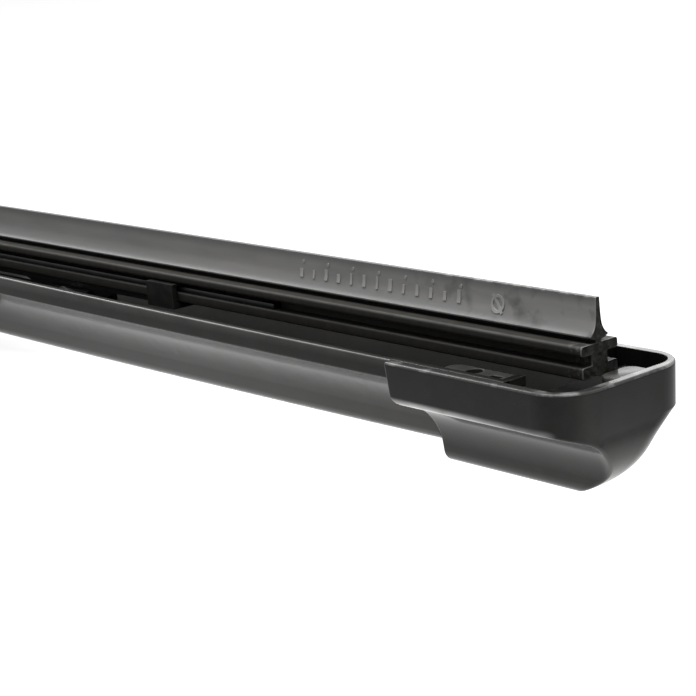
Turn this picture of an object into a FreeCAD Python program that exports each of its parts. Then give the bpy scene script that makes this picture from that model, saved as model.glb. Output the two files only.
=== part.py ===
import FreeCAD, Part
import math
import os

# Hybrid windscreen wiper blade, millimetres.
# X runs along the blade, from the left cap to the right cap.
# Y runs across it, with the concave wind side at -Y.
# Z points to the glass: the rubber lip is on top and the crest of the covers hangs below.
# Pieces are drawn with Z = 0 under the rubber's base, and are moved on export
# so that the cross pin's axis, where the wiper arm takes hold, is the origin.

V = FreeCAD.Vector

# Rubber element
RUBBER_LENGTH = 550.0
BASE_HALF = 3.25
BASE_TOP = 1.57
BASE_EDGE_R = 0.25
CORE_HALF = 1.4
SLOT_TOP = 3.1
FLANGE_HALF = 3.4
FLANGE_TOP = 4.4
FLANGE_EDGE_R = 0.35
NECK_HALF = 0.35
NECK_TOP = 4.7
SHOULDER_HALF = 1.65
SHOULDER_Z = 5.15
LIP_HALF = 0.33
LIP_TOP = 10.3

# Spring strips in the rubber's two slots
STRIP_THICK = 0.8
STRIP_HALF = 2.9
STRIP_SHORT = 62.0
STRIP_PLAY = 0.06

# Claws that wrap the rubber's base
CLAW_LENGTH = 7.0
CLAW_PLAY = 0.15
CLAW_SHEET = 0.9
CLAW_TIP_IN = 2.05
CLAW_TIP_THICK = 0.4
CLAW_TIP_PLAY = 0.08

# Walls of the shells, and the middle of the hollow cove on their wind side
COVER_WALL = 1.4
CAP_WALL = 1.45
WIND_COVE_Y = -10.8
SHELL_OPEN_Z = 9.0

# Side covers: cross-section at the outer end
SIDE_HALF = 11.0
SIDE_RIM_Z = 0.57
SIDE_CREASE_Z = -2.1
SIDE_FLANK_Z = -2.4
SIDE_COVE_Z = -11.0
SIDE_COVE_R = 8.0
SIDE_CREST_Y = -1.0
SIDE_CREST_Z = -11.5
SIDE_CREST_R = 1.6

# Half-way along
MIDDLE_RIM_Z = 0.75
MIDDLE_COVE_Z = -11.3
MIDDLE_COVE_R = 8.1
MIDDLE_CREST_Y = -0.9
MIDDLE_CREST_Z = -11.9

# At the inner end
INNER_RIM_Z = 1.6
INNER_CREASE_Z = -1.4
INNER_FLANK_Z = -2.0
INNER_COVE_Z = -10.9

# Side covers: length
SIDE_INNER_X = 108.0
SIDE_MIDDLE_X = 185.0
SHOULDER_GAP = 0.3
SIDE_RIM_R = 0.3
SPIGOT_INSET = 0.35
SPIGOT_LENGTH = 21.0

# End caps, measured from the rubber's end face
CAP_HALF = 12.25
CAP_RIM_Z = 0.57
CAP_CREASE_Z = -4.95
CAP_FLANK_Z = -4.2
CAP_COVE_Z = -12.4
CAP_COVE_R = 6.5
CAP_CREST_Y = -2.6
CAP_CREST_Z = -13.42
CAP_CREST_R = 1.7
CAP_KEEL_Y = 0.41
CAP_END = 5.45
CAP_END_WALL = 1.5
CAP_CORNER_R = 6.3
CAP_INNER_R = 3.6
CAP_OPEN = 27.6
CAP_OPEN_LEAN = 2.7
CAP_FLOOR_Z = -1.9
CAP_FLOOR_THICK = 1.2
CAP_FLOOR_X = -1.5
CAP_LEDGE_X = -5.5
CAP_LEDGE_Y = -4.0
CAP_SKIRT_R = 2.2
CAP_RIM_R = 0.4
CAP_CREASE_R = 0.4
CAP_OVERRUN = 12.0
BAND_DRAFT = 0.12
NOSE_TOP_Z = -5.4
FLANK_SLOPE = 1.12
CORNER_SWELL = 1.2
CORNER_SWELL_DEPTH = 8.0
NOSE_DEPTH = 11.0
NOSE_UPRIGHT = 3.85
NOSE_CURVE = 0.145
NOSE_SWEEP = 2.2
NOSE_SLICES = 10
BELLY_ANGLE = math.radians(-54)

# Retaining tongue with its hole, on the side cover's wind wall
TONGUE_LENGTH = 12.6
TONGUE_WIDTH = 3.1
TONGUE_TOP = 0.25
TONGUE_THICK = 1.1
TONGUE_START = -19.6
TONGUE_CORNER_R = 1.6
TONGUE_HOLE_R = 1.2
TONGUE_HOLE_X = -14.8
TONGUE_ROOT = 0.3
LATCH_HIGH = 0.3
LATCH_LENGTH = 1.2
LATCH_SLOT_LENGTH = 2.0
LATCH_SLOT_WIDTH = 1.3
PEG_Y = -7.94
PEG_R = 1.0
PEG_PLAY = 0.25
PEG_TOP_Z = -0.5
PEG_FOOT_Z = -5.0

# Main lever, the bridge in the middle
MAIN_HALF = 5.9
MAIN_SHEET = 1.2
MAIN_TOP = -1.6
MAIN_DEPTH = 13.5
MAIN_FLAT_X = 34.0
MAIN_WINDOW_X = 28.0
MAIN_STRAP_X = 46.0
MAIN_WEB_END = 90.0
MAIN_EAR_R = 3.6

# Side lever pivots on the main lever
LEVER_PIVOT_X = 100.0
LEVER_PIVOT_Z = -3.8
LEVER_PIN_R = 1.5
RUNNING_GAP = 0.05
BUSH_R = 2.1
BUSH_SIDE_GAP = 0.1
RIVET_HEAD_R = 2.5
RIVET_HEAD = 0.8

# Side levers
SIDE_LEVER_HALF = 3.0
SIDE_LEVER_SHEET = 1.0
SIDE_LEVER_EAR_R = 2.9
SIDE_CLAW_X = 48.0
SIDE_CLAW_BOTTOM = -3.0
SIDE_LEVER_BOTTOM = -4.95
SIDE_LEVER_TOP = -1.5
SIDE_LEVER_LOW_TOP = -3.2
SIDE_LEVER_PAST = 7.0

# Yokes pivot on the side levers' outer ends
YOKE_FROM_END = 119.0
YOKE_PIVOT_Z = -2.9
YOKE_PIN_R = 1.0
YOKE_PIN_HEAD_R = 1.6
YOKE_PIN_HEAD = 0.45
YOKE_REACH = 30.0
YOKE_PLATE_HALF = 2.4
YOKE_LUG_HALF = 1.85
YOKE_LUG_SHEET = 0.8
YOKE_LUG_R = 1.6
YOKE_WALL = 1.1
YOKE_WALL_REACH = 15.0
YOKE_WINDOW = 10.0

# Arm connection
CROSS_PIN_DEPTH = 9.5
CROSS_PIN_R = 2.5
CROSS_HEAD_R = 3.6
CROSS_HEAD = 0.9
ADAPTER_PLAY = 0.3
ADAPTER_NOSE_R = 5.2
ADAPTER_TAIL = 15.0
ADAPTER_HEIGHT = 7.6
ADAPTER_POCKET_WALL = 1.7
ADAPTER_SNAP_HALF = 1.9

# Centre cover
CENTRE_HALF = 13.2
CENTRE_RIM_Z = 1.6
CENTRE_CREASE_Z = -5.0
CENTRE_FLANK_Z = -4.6
CENTRE_COVE_Y = -16.2
CENTRE_COVE_Z = -13.5
CENTRE_COVE_R = 7.0
CENTRE_CREST_Z = -11.5
CENTRE_CREST_R = 8.8
CENTRE_BULK_X = 104.0
CENTRE_NECK_X = 112.0
CENTRE_END_X = 122.0
CENTRE_FIT = 1.0
CENTRE_RIB_X = 32.0
HOOK_WINDOW_X = 30.0
HOOK_WINDOW_HALF = 6.2
HOOK_WINDOW_Z = -12.0
RIB_THICK = 1.6
RIB_ROOT = 0.5
RIB_INSET = 10.0

RUBBER_END = RUBBER_LENGTH / 2
YOKE_PIVOT_X = RUBBER_END - YOKE_FROM_END
SIDE_LEVER_END = YOKE_PIVOT_X + SIDE_LEVER_PAST
ADAPTER_HALF = MAIN_HALF - MAIN_SHEET - ADAPTER_PLAY


def closed_prism(edges, way):
    """Extrude a closed flat outline."""
    wire = Part.Wire(Part.__sortEdges__(edges))
    return Part.Face(wire).extrude(way)


def polygon_edges(points):
    return [Part.makeLine(a, b) for a, b in zip(points, points[1:] + points[:1])]


def box(low, high):
    size = V(*high) - V(*low)
    return Part.makeBox(size.x, size.y, size.z, V(*low))


def side_prism(points, half):
    """Outline in X and Z, extruded across the blade from -half to +half."""
    corners = [V(x, -half, z) for x, z in points]
    return closed_prism(polygon_edges(corners), V(0, 2 * half, 0))


def cross_cylinder(x, z, radius, half):
    return Part.makeCylinder(radius, 2 * half, V(x, -half, z), V(0, 1, 0))


def tangent_from(point, centre, radius, side):
    """Unit vector from a circle's centre to where a line from point touches it."""
    dy = point[0] - centre[0]
    dz = point[1] - centre[1]
    angle = math.atan2(dz, dy) + side * math.acos(radius / math.hypot(dy, dz))
    return (math.cos(angle), math.sin(angle))


def inner_tangent(centre_a, radius_a, centre_b, radius_b, side):
    """Unit vector from circle a to its touch point with the line that crosses between a and b."""
    dy = centre_b[0] - centre_a[0]
    dz = centre_b[1] - centre_a[1]
    angle = math.atan2(dz, dy) + side * math.acos((radius_a + radius_b) / math.hypot(dy, dz))
    return (math.cos(angle), math.sin(angle))


def on_circle(centre, radius, way):
    return (centre[0] + radius * way[0], centre[1] + radius * way[1])


def middle_way(a, b):
    y = a[0] + b[0]
    z = a[1] + b[1]
    length = math.hypot(y, z)
    return (y / length, z / length)


class Section:
    """Cross-section of a cover: a band, a cove under its crease, a round crest and a lee flank."""

    def __init__(self, half, rim, crease, flank_top, cove, cove_r, crest, crest_r):
        self.half = half
        self.rim = rim
        self.crease = crease
        self.cove = cove
        self.cove_r = cove_r
        self.crest = crest
        self.crest_r = crest_r
        self.ceiling_way = tangent_from((-half, crease), cove, cove_r, -1)
        self.wall_way = inner_tangent(cove, cove_r, crest, crest_r, 1)
        self.flank_way = tangent_from((half, flank_top), crest, crest_r, -1)

    def wire(self, x, grow=0.0, rim=None):
        """The outline at x, grown outwards by grow, or inwards where that is negative."""
        half = self.half + grow
        top = self.rim if rim is None else rim
        cove_r = self.cove_r - grow
        crest_r = self.crest_r + grow
        back = (-self.wall_way[0], -self.wall_way[1])
        ceiling_touch = on_circle(self.cove, cove_r, self.ceiling_way)
        wall_touch = on_circle(self.cove, cove_r, self.wall_way)
        crest_touch = on_circle(self.crest, crest_r, back)
        flank_touch = on_circle(self.crest, crest_r, self.flank_way)
        cove_mid = on_circle(self.cove, cove_r, middle_way(self.ceiling_way, self.wall_way))
        crest_mid = on_circle(self.crest, crest_r, middle_way(back, self.flank_way))
        crease_z = self.line_at(ceiling_touch, self.ceiling_way, -half)
        flank_z = self.line_at(flank_touch, self.flank_way, half)

        def at(point):
            return V(x, point[0], point[1])
        near_rim = at((-half, top))
        far_rim = at((half, top))
        crease = at((-half, crease_z))
        flank_top = at((half, flank_z))
        edges = [
            Part.makeLine(near_rim, crease),
            Part.makeLine(crease, at(ceiling_touch)),
            Part.Arc(at(ceiling_touch), at(cove_mid), at(wall_touch)).toShape(),
            Part.makeLine(at(wall_touch), at(crest_touch)),
            Part.Arc(at(crest_touch), at(crest_mid), at(flank_touch)).toShape(),
            Part.makeLine(at(flank_touch), flank_top),
            Part.makeLine(flank_top, far_rim),
            Part.makeLine(far_rim, near_rim),
        ]
        return Part.Wire(edges)

    def below(self, x_from, x_to, grow, keel_y):
        """Everything under the cove, the flat crest that ends at keel_y, and the belly, along x."""
        cove_r = self.cove_r - grow
        crest_r = self.crest_r + grow
        back = (-self.wall_way[0], -self.wall_way[1])
        down = (0, -1)
        away = (math.cos(BELLY_ANGLE), math.sin(BELLY_ANGLE))
        keel = (keel_y, self.crest[1])
        ceiling_touch = on_circle(self.cove, cove_r, self.ceiling_way)
        wall_touch = on_circle(self.cove, cove_r, self.wall_way)
        crest_touch = on_circle(self.crest, crest_r, back)
        crest_low = on_circle(self.crest, crest_r, down)
        keel_low = on_circle(keel, crest_r, down)
        belly_touch = on_circle(keel, crest_r, away)
        cove_mid = on_circle(self.cove, cove_r, middle_way(self.ceiling_way, self.wall_way))
        crest_mid = on_circle(self.crest, crest_r, middle_way(back, down))
        keel_mid = on_circle(keel, crest_r, middle_way(down, away))
        wide = 3 * self.half

        def at(point):
            return V(x_from, point[0], point[1])
        near = (-wide, self.line_at(ceiling_touch, self.ceiling_way, -wide))
        far = (wide, self.line_at(belly_touch, away, wide))
        edges = [
            Part.makeLine(at(near), at(ceiling_touch)),
            Part.Arc(at(ceiling_touch), at(cove_mid), at(wall_touch)).toShape(),
            Part.makeLine(at(wall_touch), at(crest_touch)),
            Part.Arc(at(crest_touch), at(crest_mid), at(crest_low)).toShape(),
            Part.makeLine(at(crest_low), at(keel_low)),
            Part.Arc(at(keel_low), at(keel_mid), at(belly_touch)).toShape(),
            Part.makeLine(at(belly_touch), at(far)),
            Part.makeLine(at(far), at((wide, -2 * wide))),
            Part.makeLine(at((wide, -2 * wide)), at((-wide, -2 * wide))),
            Part.makeLine(at((-wide, -2 * wide)), at(near)),
        ]
        return Part.Face(Part.Wire(edges)).extrude(V(x_to - x_from, 0, 0))

    @staticmethod
    def line_at(touch, way, y):
        """Height at y of the line that touches a circle at touch, square to way."""
        return touch[1] - (y - touch[0]) * way[0] / way[1]


SIDE_OUTER = Section(SIDE_HALF, SIDE_RIM_Z, SIDE_CREASE_Z, SIDE_FLANK_Z, (WIND_COVE_Y, SIDE_COVE_Z),
                     SIDE_COVE_R, (SIDE_CREST_Y, SIDE_CREST_Z), SIDE_CREST_R)
SIDE_MIDDLE = Section(SIDE_HALF, MIDDLE_RIM_Z, SIDE_CREASE_Z, SIDE_FLANK_Z, (WIND_COVE_Y, MIDDLE_COVE_Z),
                      MIDDLE_COVE_R, (MIDDLE_CREST_Y, MIDDLE_CREST_Z), SIDE_CREST_R)
SIDE_INNER = Section(SIDE_HALF, INNER_RIM_Z, INNER_CREASE_Z, INNER_FLANK_Z, (WIND_COVE_Y, INNER_COVE_Z),
                     MIDDLE_COVE_R, (MIDDLE_CREST_Y, SIDE_CREST_Z), SIDE_CREST_R)
CAP_SECTION = Section(CAP_HALF, CAP_RIM_Z, CAP_CREASE_Z, CAP_FLANK_Z, (WIND_COVE_Y, CAP_COVE_Z),
                      CAP_COVE_R, (CAP_CREST_Y, CAP_CREST_Z), CAP_CREST_R)
CENTRE_BULK = Section(CENTRE_HALF, CENTRE_RIM_Z, CENTRE_CREASE_Z, CENTRE_FLANK_Z,
                      (CENTRE_COVE_Y, CENTRE_COVE_Z), CENTRE_COVE_R, (0.0, CENTRE_CREST_Z), CENTRE_CREST_R)


def extruded(section, x_from, x_to, grow=0.0, rim=None):
    return Part.Face(section.wire(x_from, grow, rim)).extrude(V(x_to - x_from, 0, 0))


def lofted(stations, grow=0.0, rim=None, ruled=False):
    wires = [section.wire(x, grow, rim) for x, section in stations]
    return Part.makeLoft(wires, True, ruled)


def rubber_half_outline():
    """Right half of the rubber's section, from the base's middle up to the lip's edge."""
    def p(y, z):
        return V(0, y, z)
    def corner(y, z, r, way_in, way_out):
        """Rounded corner at (y, z): the line comes in along way_in and leaves along way_out."""
        k = 1 - math.sqrt(0.5)
        first = p(y - r * way_in[0], z - r * way_in[1])
        last = p(y + r * way_out[0], z + r * way_out[1])
        middle = p(y + k * r * (way_out[0] - way_in[0]), z + k * r * (way_out[1] - way_in[1]))
        return first, Part.Arc(first, middle, last).toShape(), last
    out, inwards, up = (1, 0), (-1, 0), (0, 1)
    base_low = corner(BASE_HALF, 0, BASE_EDGE_R, out, up)
    base_high = corner(BASE_HALF, BASE_TOP, BASE_EDGE_R, up, inwards)
    flange_low = corner(FLANGE_HALF, SLOT_TOP, FLANGE_EDGE_R, out, up)
    flange_high = corner(FLANGE_HALF, FLANGE_TOP, FLANGE_EDGE_R, up, inwards)
    edges = [
        Part.makeLine(p(0, 0), base_low[0]),
        base_low[1],
        Part.makeLine(base_low[2], base_high[0]),
        base_high[1],
        Part.makeLine(base_high[2], p(CORE_HALF, BASE_TOP)),
        Part.makeLine(p(CORE_HALF, BASE_TOP), p(CORE_HALF, SLOT_TOP)),
        Part.makeLine(p(CORE_HALF, SLOT_TOP), flange_low[0]),
        flange_low[1],
        Part.makeLine(flange_low[2], flange_high[0]),
        flange_high[1],
        Part.makeLine(flange_high[2], p(NECK_HALF, FLANGE_TOP)),
        Part.makeLine(p(NECK_HALF, FLANGE_TOP), p(NECK_HALF, NECK_TOP)),
        Part.makeLine(p(NECK_HALF, NECK_TOP), p(SHOULDER_HALF, SHOULDER_Z)),
    ]
    lip = Part.BSplineCurve()
    lip_rise = LIP_TOP - SHOULDER_Z
    lip.interpolate([
        p(SHOULDER_HALF, SHOULDER_Z + 0.2),
        p(SHOULDER_HALF - 0.7, SHOULDER_Z + 0.17 * lip_rise),
        p(0.5, SHOULDER_Z + 0.42 * lip_rise),
        p(LIP_HALF, LIP_TOP),
    ])
    edges.append(Part.makeLine(p(SHOULDER_HALF, SHOULDER_Z), p(SHOULDER_HALF, SHOULDER_Z + 0.2)))
    edges.append(lip.toShape())
    edges.append(Part.makeLine(p(LIP_HALF, LIP_TOP), p(0, LIP_TOP)))
    return edges


def wiper_rubber():
    right = rubber_half_outline()
    left = [edge.mirror(V(0, 0, 0), V(0, 1, 0)) for edge in right]
    solid = closed_prism(right + left, V(RUBBER_LENGTH, 0, 0))
    solid.translate(V(-RUBBER_END, 0, 0))
    return solid


def backing_strip(side):
    """Flat spring rail in one slot, a little shorter than the rubber, with rounded ends."""
    half = RUBBER_END - STRIP_SHORT
    inner = CORE_HALF + STRIP_PLAY
    low = BASE_TOP + STRIP_PLAY
    strip = box((-half, inner, low), (half, STRIP_HALF, low + STRIP_THICK))
    corners = [e for e in strip.Edges
               if abs(e.Vertexes[0].Z - e.Vertexes[-1].Z) > STRIP_THICK / 2
               and e.Vertexes[0].Y > (inner + STRIP_HALF) / 2]
    strip = strip.makeFillet((STRIP_HALF - inner) / 2, corners)
    return strip if side > 0 else strip.mirror(V(0, 0, 0), V(0, 1, 0))


def claw(x):
    """C-shaped claw round the rubber's base at x, with coined tips over the strips."""
    half = CLAW_LENGTH / 2
    inner = BASE_HALF + CLAW_PLAY
    outer = inner + CLAW_SHEET
    tip_low = BASE_TOP + STRIP_PLAY + STRIP_THICK + CLAW_TIP_PLAY
    tip_top = tip_low + CLAW_TIP_THICK
    outline = [
        (0, -CLAW_PLAY - CLAW_SHEET), (outer, -CLAW_PLAY - CLAW_SHEET), (outer, tip_top),
        (CLAW_TIP_IN, tip_top), (CLAW_TIP_IN, tip_low), (inner, tip_low), (inner, -CLAW_PLAY),
        (0, -CLAW_PLAY),
    ]
    points = [V(x - half, y, z) for y, z in outline]
    points += [V(x - half, -y, z) for y, z in reversed(outline[1:-1])]
    return closed_prism(polygon_edges(points), V(CLAW_LENGTH, 0, 0))


def main_lever():
    """Bridge channel, open to the rubber, with a window for the arm and ears for the side levers."""
    web_x = MAIN_FLAT_X
    ear_x = LEVER_PIVOT_X
    ear_low = LEVER_PIVOT_Z - MAIN_EAR_R
    profile = [(-ear_x, MAIN_TOP), (ear_x, MAIN_TOP), (ear_x, ear_low), (web_x, -MAIN_DEPTH),
               (-web_x, -MAIN_DEPTH), (-ear_x, ear_low)]
    lever = side_prism(profile, MAIN_HALF)
    for side in (-1, 1):
        lever = lever.fuse(cross_cylinder(side * ear_x, LEVER_PIVOT_Z, MAIN_EAR_R, MAIN_HALF))
    inner_half = MAIN_HALF - MAIN_SHEET
    lift = MAIN_SHEET
    hollow = [(-MAIN_WEB_END, 5), (MAIN_WEB_END, 5), (MAIN_WEB_END, ear_low + 2 * lift),
              (web_x, -MAIN_DEPTH + lift), (-web_x, -MAIN_DEPTH + lift),
              (-MAIN_WEB_END, ear_low + 2 * lift)]
    lever = lever.cut(side_prism(hollow, inner_half))
    beyond = ear_x + MAIN_EAR_R + 1
    for side in (-1, 1):
        x_pair = sorted((side * (MAIN_WEB_END - 1), side * beyond))
        lever = lever.cut(box((x_pair[0], -inner_half, -MAIN_DEPTH), (x_pair[1], inner_half, 5)))
        lever = lever.cut(cross_cylinder(side * ear_x, LEVER_PIVOT_Z, LEVER_PIN_R + RUNNING_GAP,
                                         MAIN_HALF + 1))
    windows = [(-MAIN_WINDOW_X, MAIN_WINDOW_X), (MAIN_STRAP_X, MAIN_WEB_END),
               (-MAIN_WEB_END, -MAIN_STRAP_X)]
    for x0, x1 in windows:
        lever = lever.cut(box((x0, -inner_half, -MAIN_DEPTH - 1), (x1, inner_half, 5)))
    lever = lever.cut(cross_cylinder(0, -CROSS_PIN_DEPTH, CROSS_PIN_R + RUNNING_GAP, MAIN_HALF + 1))
    return lever.removeSplitter()


def rivet(x, z, radius, half_grip, head_r, head):
    pin = cross_cylinder(x, z, radius, half_grip + head)
    for side in (-1, 1):
        start = half_grip if side > 0 else -half_grip - head
        pin = pin.fuse(Part.makeCylinder(head_r, head, V(x, start, z), V(0, 1, 0)))
    return pin.removeSplitter()


def cross_pin():
    return rivet(0, -CROSS_PIN_DEPTH, CROSS_PIN_R, MAIN_HALF, CROSS_HEAD_R, CROSS_HEAD)


def lever_pin():
    return rivet(LEVER_PIVOT_X, LEVER_PIVOT_Z, LEVER_PIN_R, MAIN_HALF, RIVET_HEAD_R, RIVET_HEAD)


def lever_bush():
    """Plastic sleeve that fills the gap between the main lever's ears, in the side lever's holes."""
    half = MAIN_HALF - MAIN_SHEET - BUSH_SIDE_GAP
    body = cross_cylinder(LEVER_PIVOT_X, LEVER_PIVOT_Z, BUSH_R, half)
    return body.cut(cross_cylinder(LEVER_PIVOT_X, LEVER_PIVOT_Z, LEVER_PIN_R + RUNNING_GAP, half + 1))


def side_lever():
    """Channel from the inner claw over the pivot to the yoke pin."""
    claw_end = SIDE_CLAW_X - CLAW_LENGTH / 2
    claw_top = -CLAW_PLAY - CLAW_SHEET / 2
    past = SIDE_CLAW_X + CLAW_LENGTH / 2
    profile = [
        (claw_end, claw_top), (past, claw_top), (past + 2, SIDE_LEVER_TOP),
        (SIDE_INNER_X, SIDE_LEVER_TOP), (SIDE_INNER_X + 10, SIDE_LEVER_LOW_TOP),
        (YOKE_PIVOT_X - 8, SIDE_LEVER_LOW_TOP), (YOKE_PIVOT_X - 4, SIDE_LEVER_TOP),
        (SIDE_LEVER_END, SIDE_LEVER_TOP), (SIDE_LEVER_END, SIDE_LEVER_BOTTOM),
        (LEVER_PIVOT_X + 6, SIDE_LEVER_BOTTOM),
        (LEVER_PIVOT_X, LEVER_PIVOT_Z - SIDE_LEVER_EAR_R + 0.6), (claw_end, SIDE_CLAW_BOTTOM),
    ]
    lever = side_prism(profile, SIDE_LEVER_HALF)
    ear = cross_cylinder(LEVER_PIVOT_X, LEVER_PIVOT_Z, SIDE_LEVER_EAR_R, SIDE_LEVER_HALF)
    lever = lever.fuse(ear)
    up = SIDE_LEVER_SHEET
    hollow = [
        (claw_end - 1, 3), (SIDE_LEVER_END + 1, 3), (SIDE_LEVER_END + 1, SIDE_LEVER_BOTTOM + up),
        (LEVER_PIVOT_X + 6, SIDE_LEVER_BOTTOM + up),
        (LEVER_PIVOT_X, LEVER_PIVOT_Z - SIDE_LEVER_EAR_R + 0.6 + up),
        (claw_end - 1, SIDE_CLAW_BOTTOM + up),
    ]
    lever = lever.cut(side_prism(hollow, SIDE_LEVER_HALF - SIDE_LEVER_SHEET))
    lever = lever.fuse(claw(SIDE_CLAW_X))
    lever = lever.cut(cross_cylinder(LEVER_PIVOT_X, LEVER_PIVOT_Z, BUSH_R + RUNNING_GAP,
                                     SIDE_LEVER_HALF + 1))
    lever = lever.cut(cross_cylinder(YOKE_PIVOT_X, YOKE_PIVOT_Z, YOKE_PIN_R + RUNNING_GAP,
                                     SIDE_LEVER_HALF + 1))
    window = box((YOKE_PIVOT_X - YOKE_WINDOW / 2, -YOKE_LUG_HALF - 0.15, SIDE_LEVER_BOTTOM - 1),
                 (YOKE_PIVOT_X + YOKE_WINDOW / 2, YOKE_LUG_HALF + 0.15, SIDE_LEVER_BOTTOM + 1.5))
    return lever.cut(window).removeSplitter()


def yoke():
    """Small lever with a claw at each end, pinned in the side lever."""
    low = -CLAW_PLAY - CLAW_SHEET
    plate = box((YOKE_PIVOT_X - YOKE_REACH, -YOKE_PLATE_HALF, low),
                (YOKE_PIVOT_X + YOKE_REACH, YOKE_PLATE_HALF, -CLAW_PLAY))
    body = plate
    wall_points = [(YOKE_PIVOT_X - YOKE_WALL_REACH, low + 0.3),
                   (YOKE_PIVOT_X + YOKE_WALL_REACH, low + 0.3),
                   (YOKE_PIVOT_X + YOKE_WALL_REACH - 4, low - YOKE_WALL),
                   (YOKE_PIVOT_X - YOKE_WALL_REACH + 4, low - YOKE_WALL)]
    channel = side_prism(wall_points, YOKE_LUG_HALF)
    channel = channel.fuse(cross_cylinder(YOKE_PIVOT_X, YOKE_PIVOT_Z, YOKE_LUG_R, YOKE_LUG_HALF))
    inside = box((YOKE_PIVOT_X - YOKE_REACH, -YOKE_LUG_HALF + YOKE_LUG_SHEET, -8),
                 (YOKE_PIVOT_X + YOKE_REACH, YOKE_LUG_HALF - YOKE_LUG_SHEET, low))
    body = body.fuse(channel.cut(inside))
    for side in (-1, 1):
        body = body.fuse(claw(YOKE_PIVOT_X + side * YOKE_REACH))
    hole = cross_cylinder(YOKE_PIVOT_X, YOKE_PIVOT_Z, YOKE_PIN_R + RUNNING_GAP, YOKE_LUG_HALF + 1)
    return body.cut(hole).removeSplitter()


def yoke_pin():
    return rivet(YOKE_PIVOT_X, YOKE_PIVOT_Z, YOKE_PIN_R, SIDE_LEVER_HALF, YOKE_PIN_HEAD_R,
                 YOKE_PIN_HEAD)


def rib(section, x, top):
    """Cross rib that fills a shell below a lever's web, rooted in the shell's wall."""
    x0 = x - RIB_THICK / 2
    x1 = x + RIB_THICK / 2
    slab = extruded(section, x0, x1, RIB_ROOT - COVER_WALL)
    above = box((x0 - 1, -section.half, top), (x1 + 1, section.half, section.rim + 1))
    return slab.cut(above)


def side_cover():
    """Spoiler cover of one side, with a spigot for the cap and its retaining tongue."""
    shoulder = RUBBER_END - CAP_OPEN - SHOULDER_GAP
    spigot_end = shoulder + SPIGOT_LENGTH
    stations = [(SIDE_INNER_X, SIDE_INNER), (SIDE_MIDDLE_X, SIDE_MIDDLE), (shoulder, SIDE_OUTER)]
    outer = lofted(stations)
    outer = outer.fuse(extruded(SIDE_OUTER, shoulder - 0.5, spigot_end, -SPIGOT_INSET))
    inside = [(SIDE_INNER_X - 1, SIDE_INNER), (SIDE_MIDDLE_X, SIDE_MIDDLE), (shoulder, SIDE_OUTER)]
    hollow = lofted(inside, -COVER_WALL, SHELL_OPEN_Z)
    hollow = hollow.fuse(extruded(SIDE_OUTER, shoulder, spigot_end + 1, -COVER_WALL, SHELL_OPEN_Z))
    cover = outer.cut(hollow)
    cover = cover.fuse(rib(SIDE_INNER, SIDE_INNER_X + RIB_INSET, SIDE_LEVER_BOTTOM))
    cover = cover.fuse(rib(SIDE_MIDDLE, YOKE_PIVOT_X - RIB_INSET, SIDE_LEVER_BOTTOM))
    peg_room = Part.makeCylinder(PEG_R + PEG_PLAY, -PEG_FOOT_Z,
                                 V(RUBBER_END + TONGUE_HOLE_X, PEG_Y, PEG_FOOT_Z))
    cover = cover.cut(peg_room)
    cover = cover.makeFillet(SIDE_RIM_R, [e for e in cover.Edges
                                          if e.Length > (shoulder - SIDE_INNER_X) / 2
                                          and e.BoundBox.ZMin > 0])
    return cover.fuse(tongue()).removeSplitter()


def tongue():
    """Flat tongue inside the wind wall, with a round inner corner and the cap peg's hole."""
    wall_y = -SIDE_HALF + COVER_WALL
    root_y = wall_y - TONGUE_ROOT
    edge_y = wall_y + TONGUE_WIDTH
    x0 = RUBBER_END + TONGUE_START
    x1 = x0 + TONGUE_LENGTH
    low = TONGUE_TOP - TONGUE_THICK
    plate = box((x0, root_y, low), (x1, edge_y, TONGUE_TOP))
    corners = [e for e in plate.Edges if abs(e.Vertexes[0].Z - e.Vertexes[-1].Z) > TONGUE_THICK / 2
               and e.Vertexes[0].Y > edge_y - 0.1 and e.Vertexes[0].X < x0 + 0.1]
    plate = plate.makeFillet(TONGUE_CORNER_R, corners)
    hole = Part.makeCylinder(TONGUE_HOLE_R, 2 * TONGUE_THICK,
                             V(RUBBER_END + TONGUE_HOLE_X, PEG_Y, low - TONGUE_THICK / 2))
    latch = box((x1 - LATCH_LENGTH, root_y, TONGUE_TOP - LATCH_HIGH), (x1, edge_y, TONGUE_TOP + LATCH_HIGH))
    slot_x = x1 - 2 * LATCH_LENGTH
    slot = box((slot_x - LATCH_SLOT_LENGTH, wall_y + TONGUE_ROOT, low - 1),
               (slot_x, wall_y + TONGUE_ROOT + LATCH_SLOT_WIDTH, TONGUE_TOP + 1))
    return plate.cut(hole).fuse(latch).cut(slot)


def hull_outline(inset, x, y, z, swell=0.0):
    """Level outline of the cap at height z: open end square, closed end round, shifted by x and y."""
    near = -CAP_HALF + inset
    far = CAP_HALF - inset + y
    end = CAP_END - CAP_END_WALL * inset / CAP_WALL + x
    start = -CAP_OPEN - CAP_OVERRUN
    r = CAP_CORNER_R if inset == 0 else CAP_INNER_R
    k = r * (1 - math.sqrt(0.5))
    far_r = r + swell
    far_k = far_r * (1 - math.sqrt(0.5))

    def p(px, py):
        return V(px, py, z)
    return Part.Wire([
        Part.makeLine(p(start, near), p(end - r, near)),
        Part.Arc(p(end - r, near), p(end - k, near + k), p(end, near + r)).toShape(),
        Part.makeLine(p(end, near + r), p(end, far - far_r)),
        Part.Arc(p(end, far - far_r), p(end - far_k, far - far_k), p(end - far_r, far)).toShape(),
        Part.makeLine(p(end - far_r, far), p(start, far)),
        Part.makeLine(p(start, far), p(start, near)),
    ])


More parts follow.
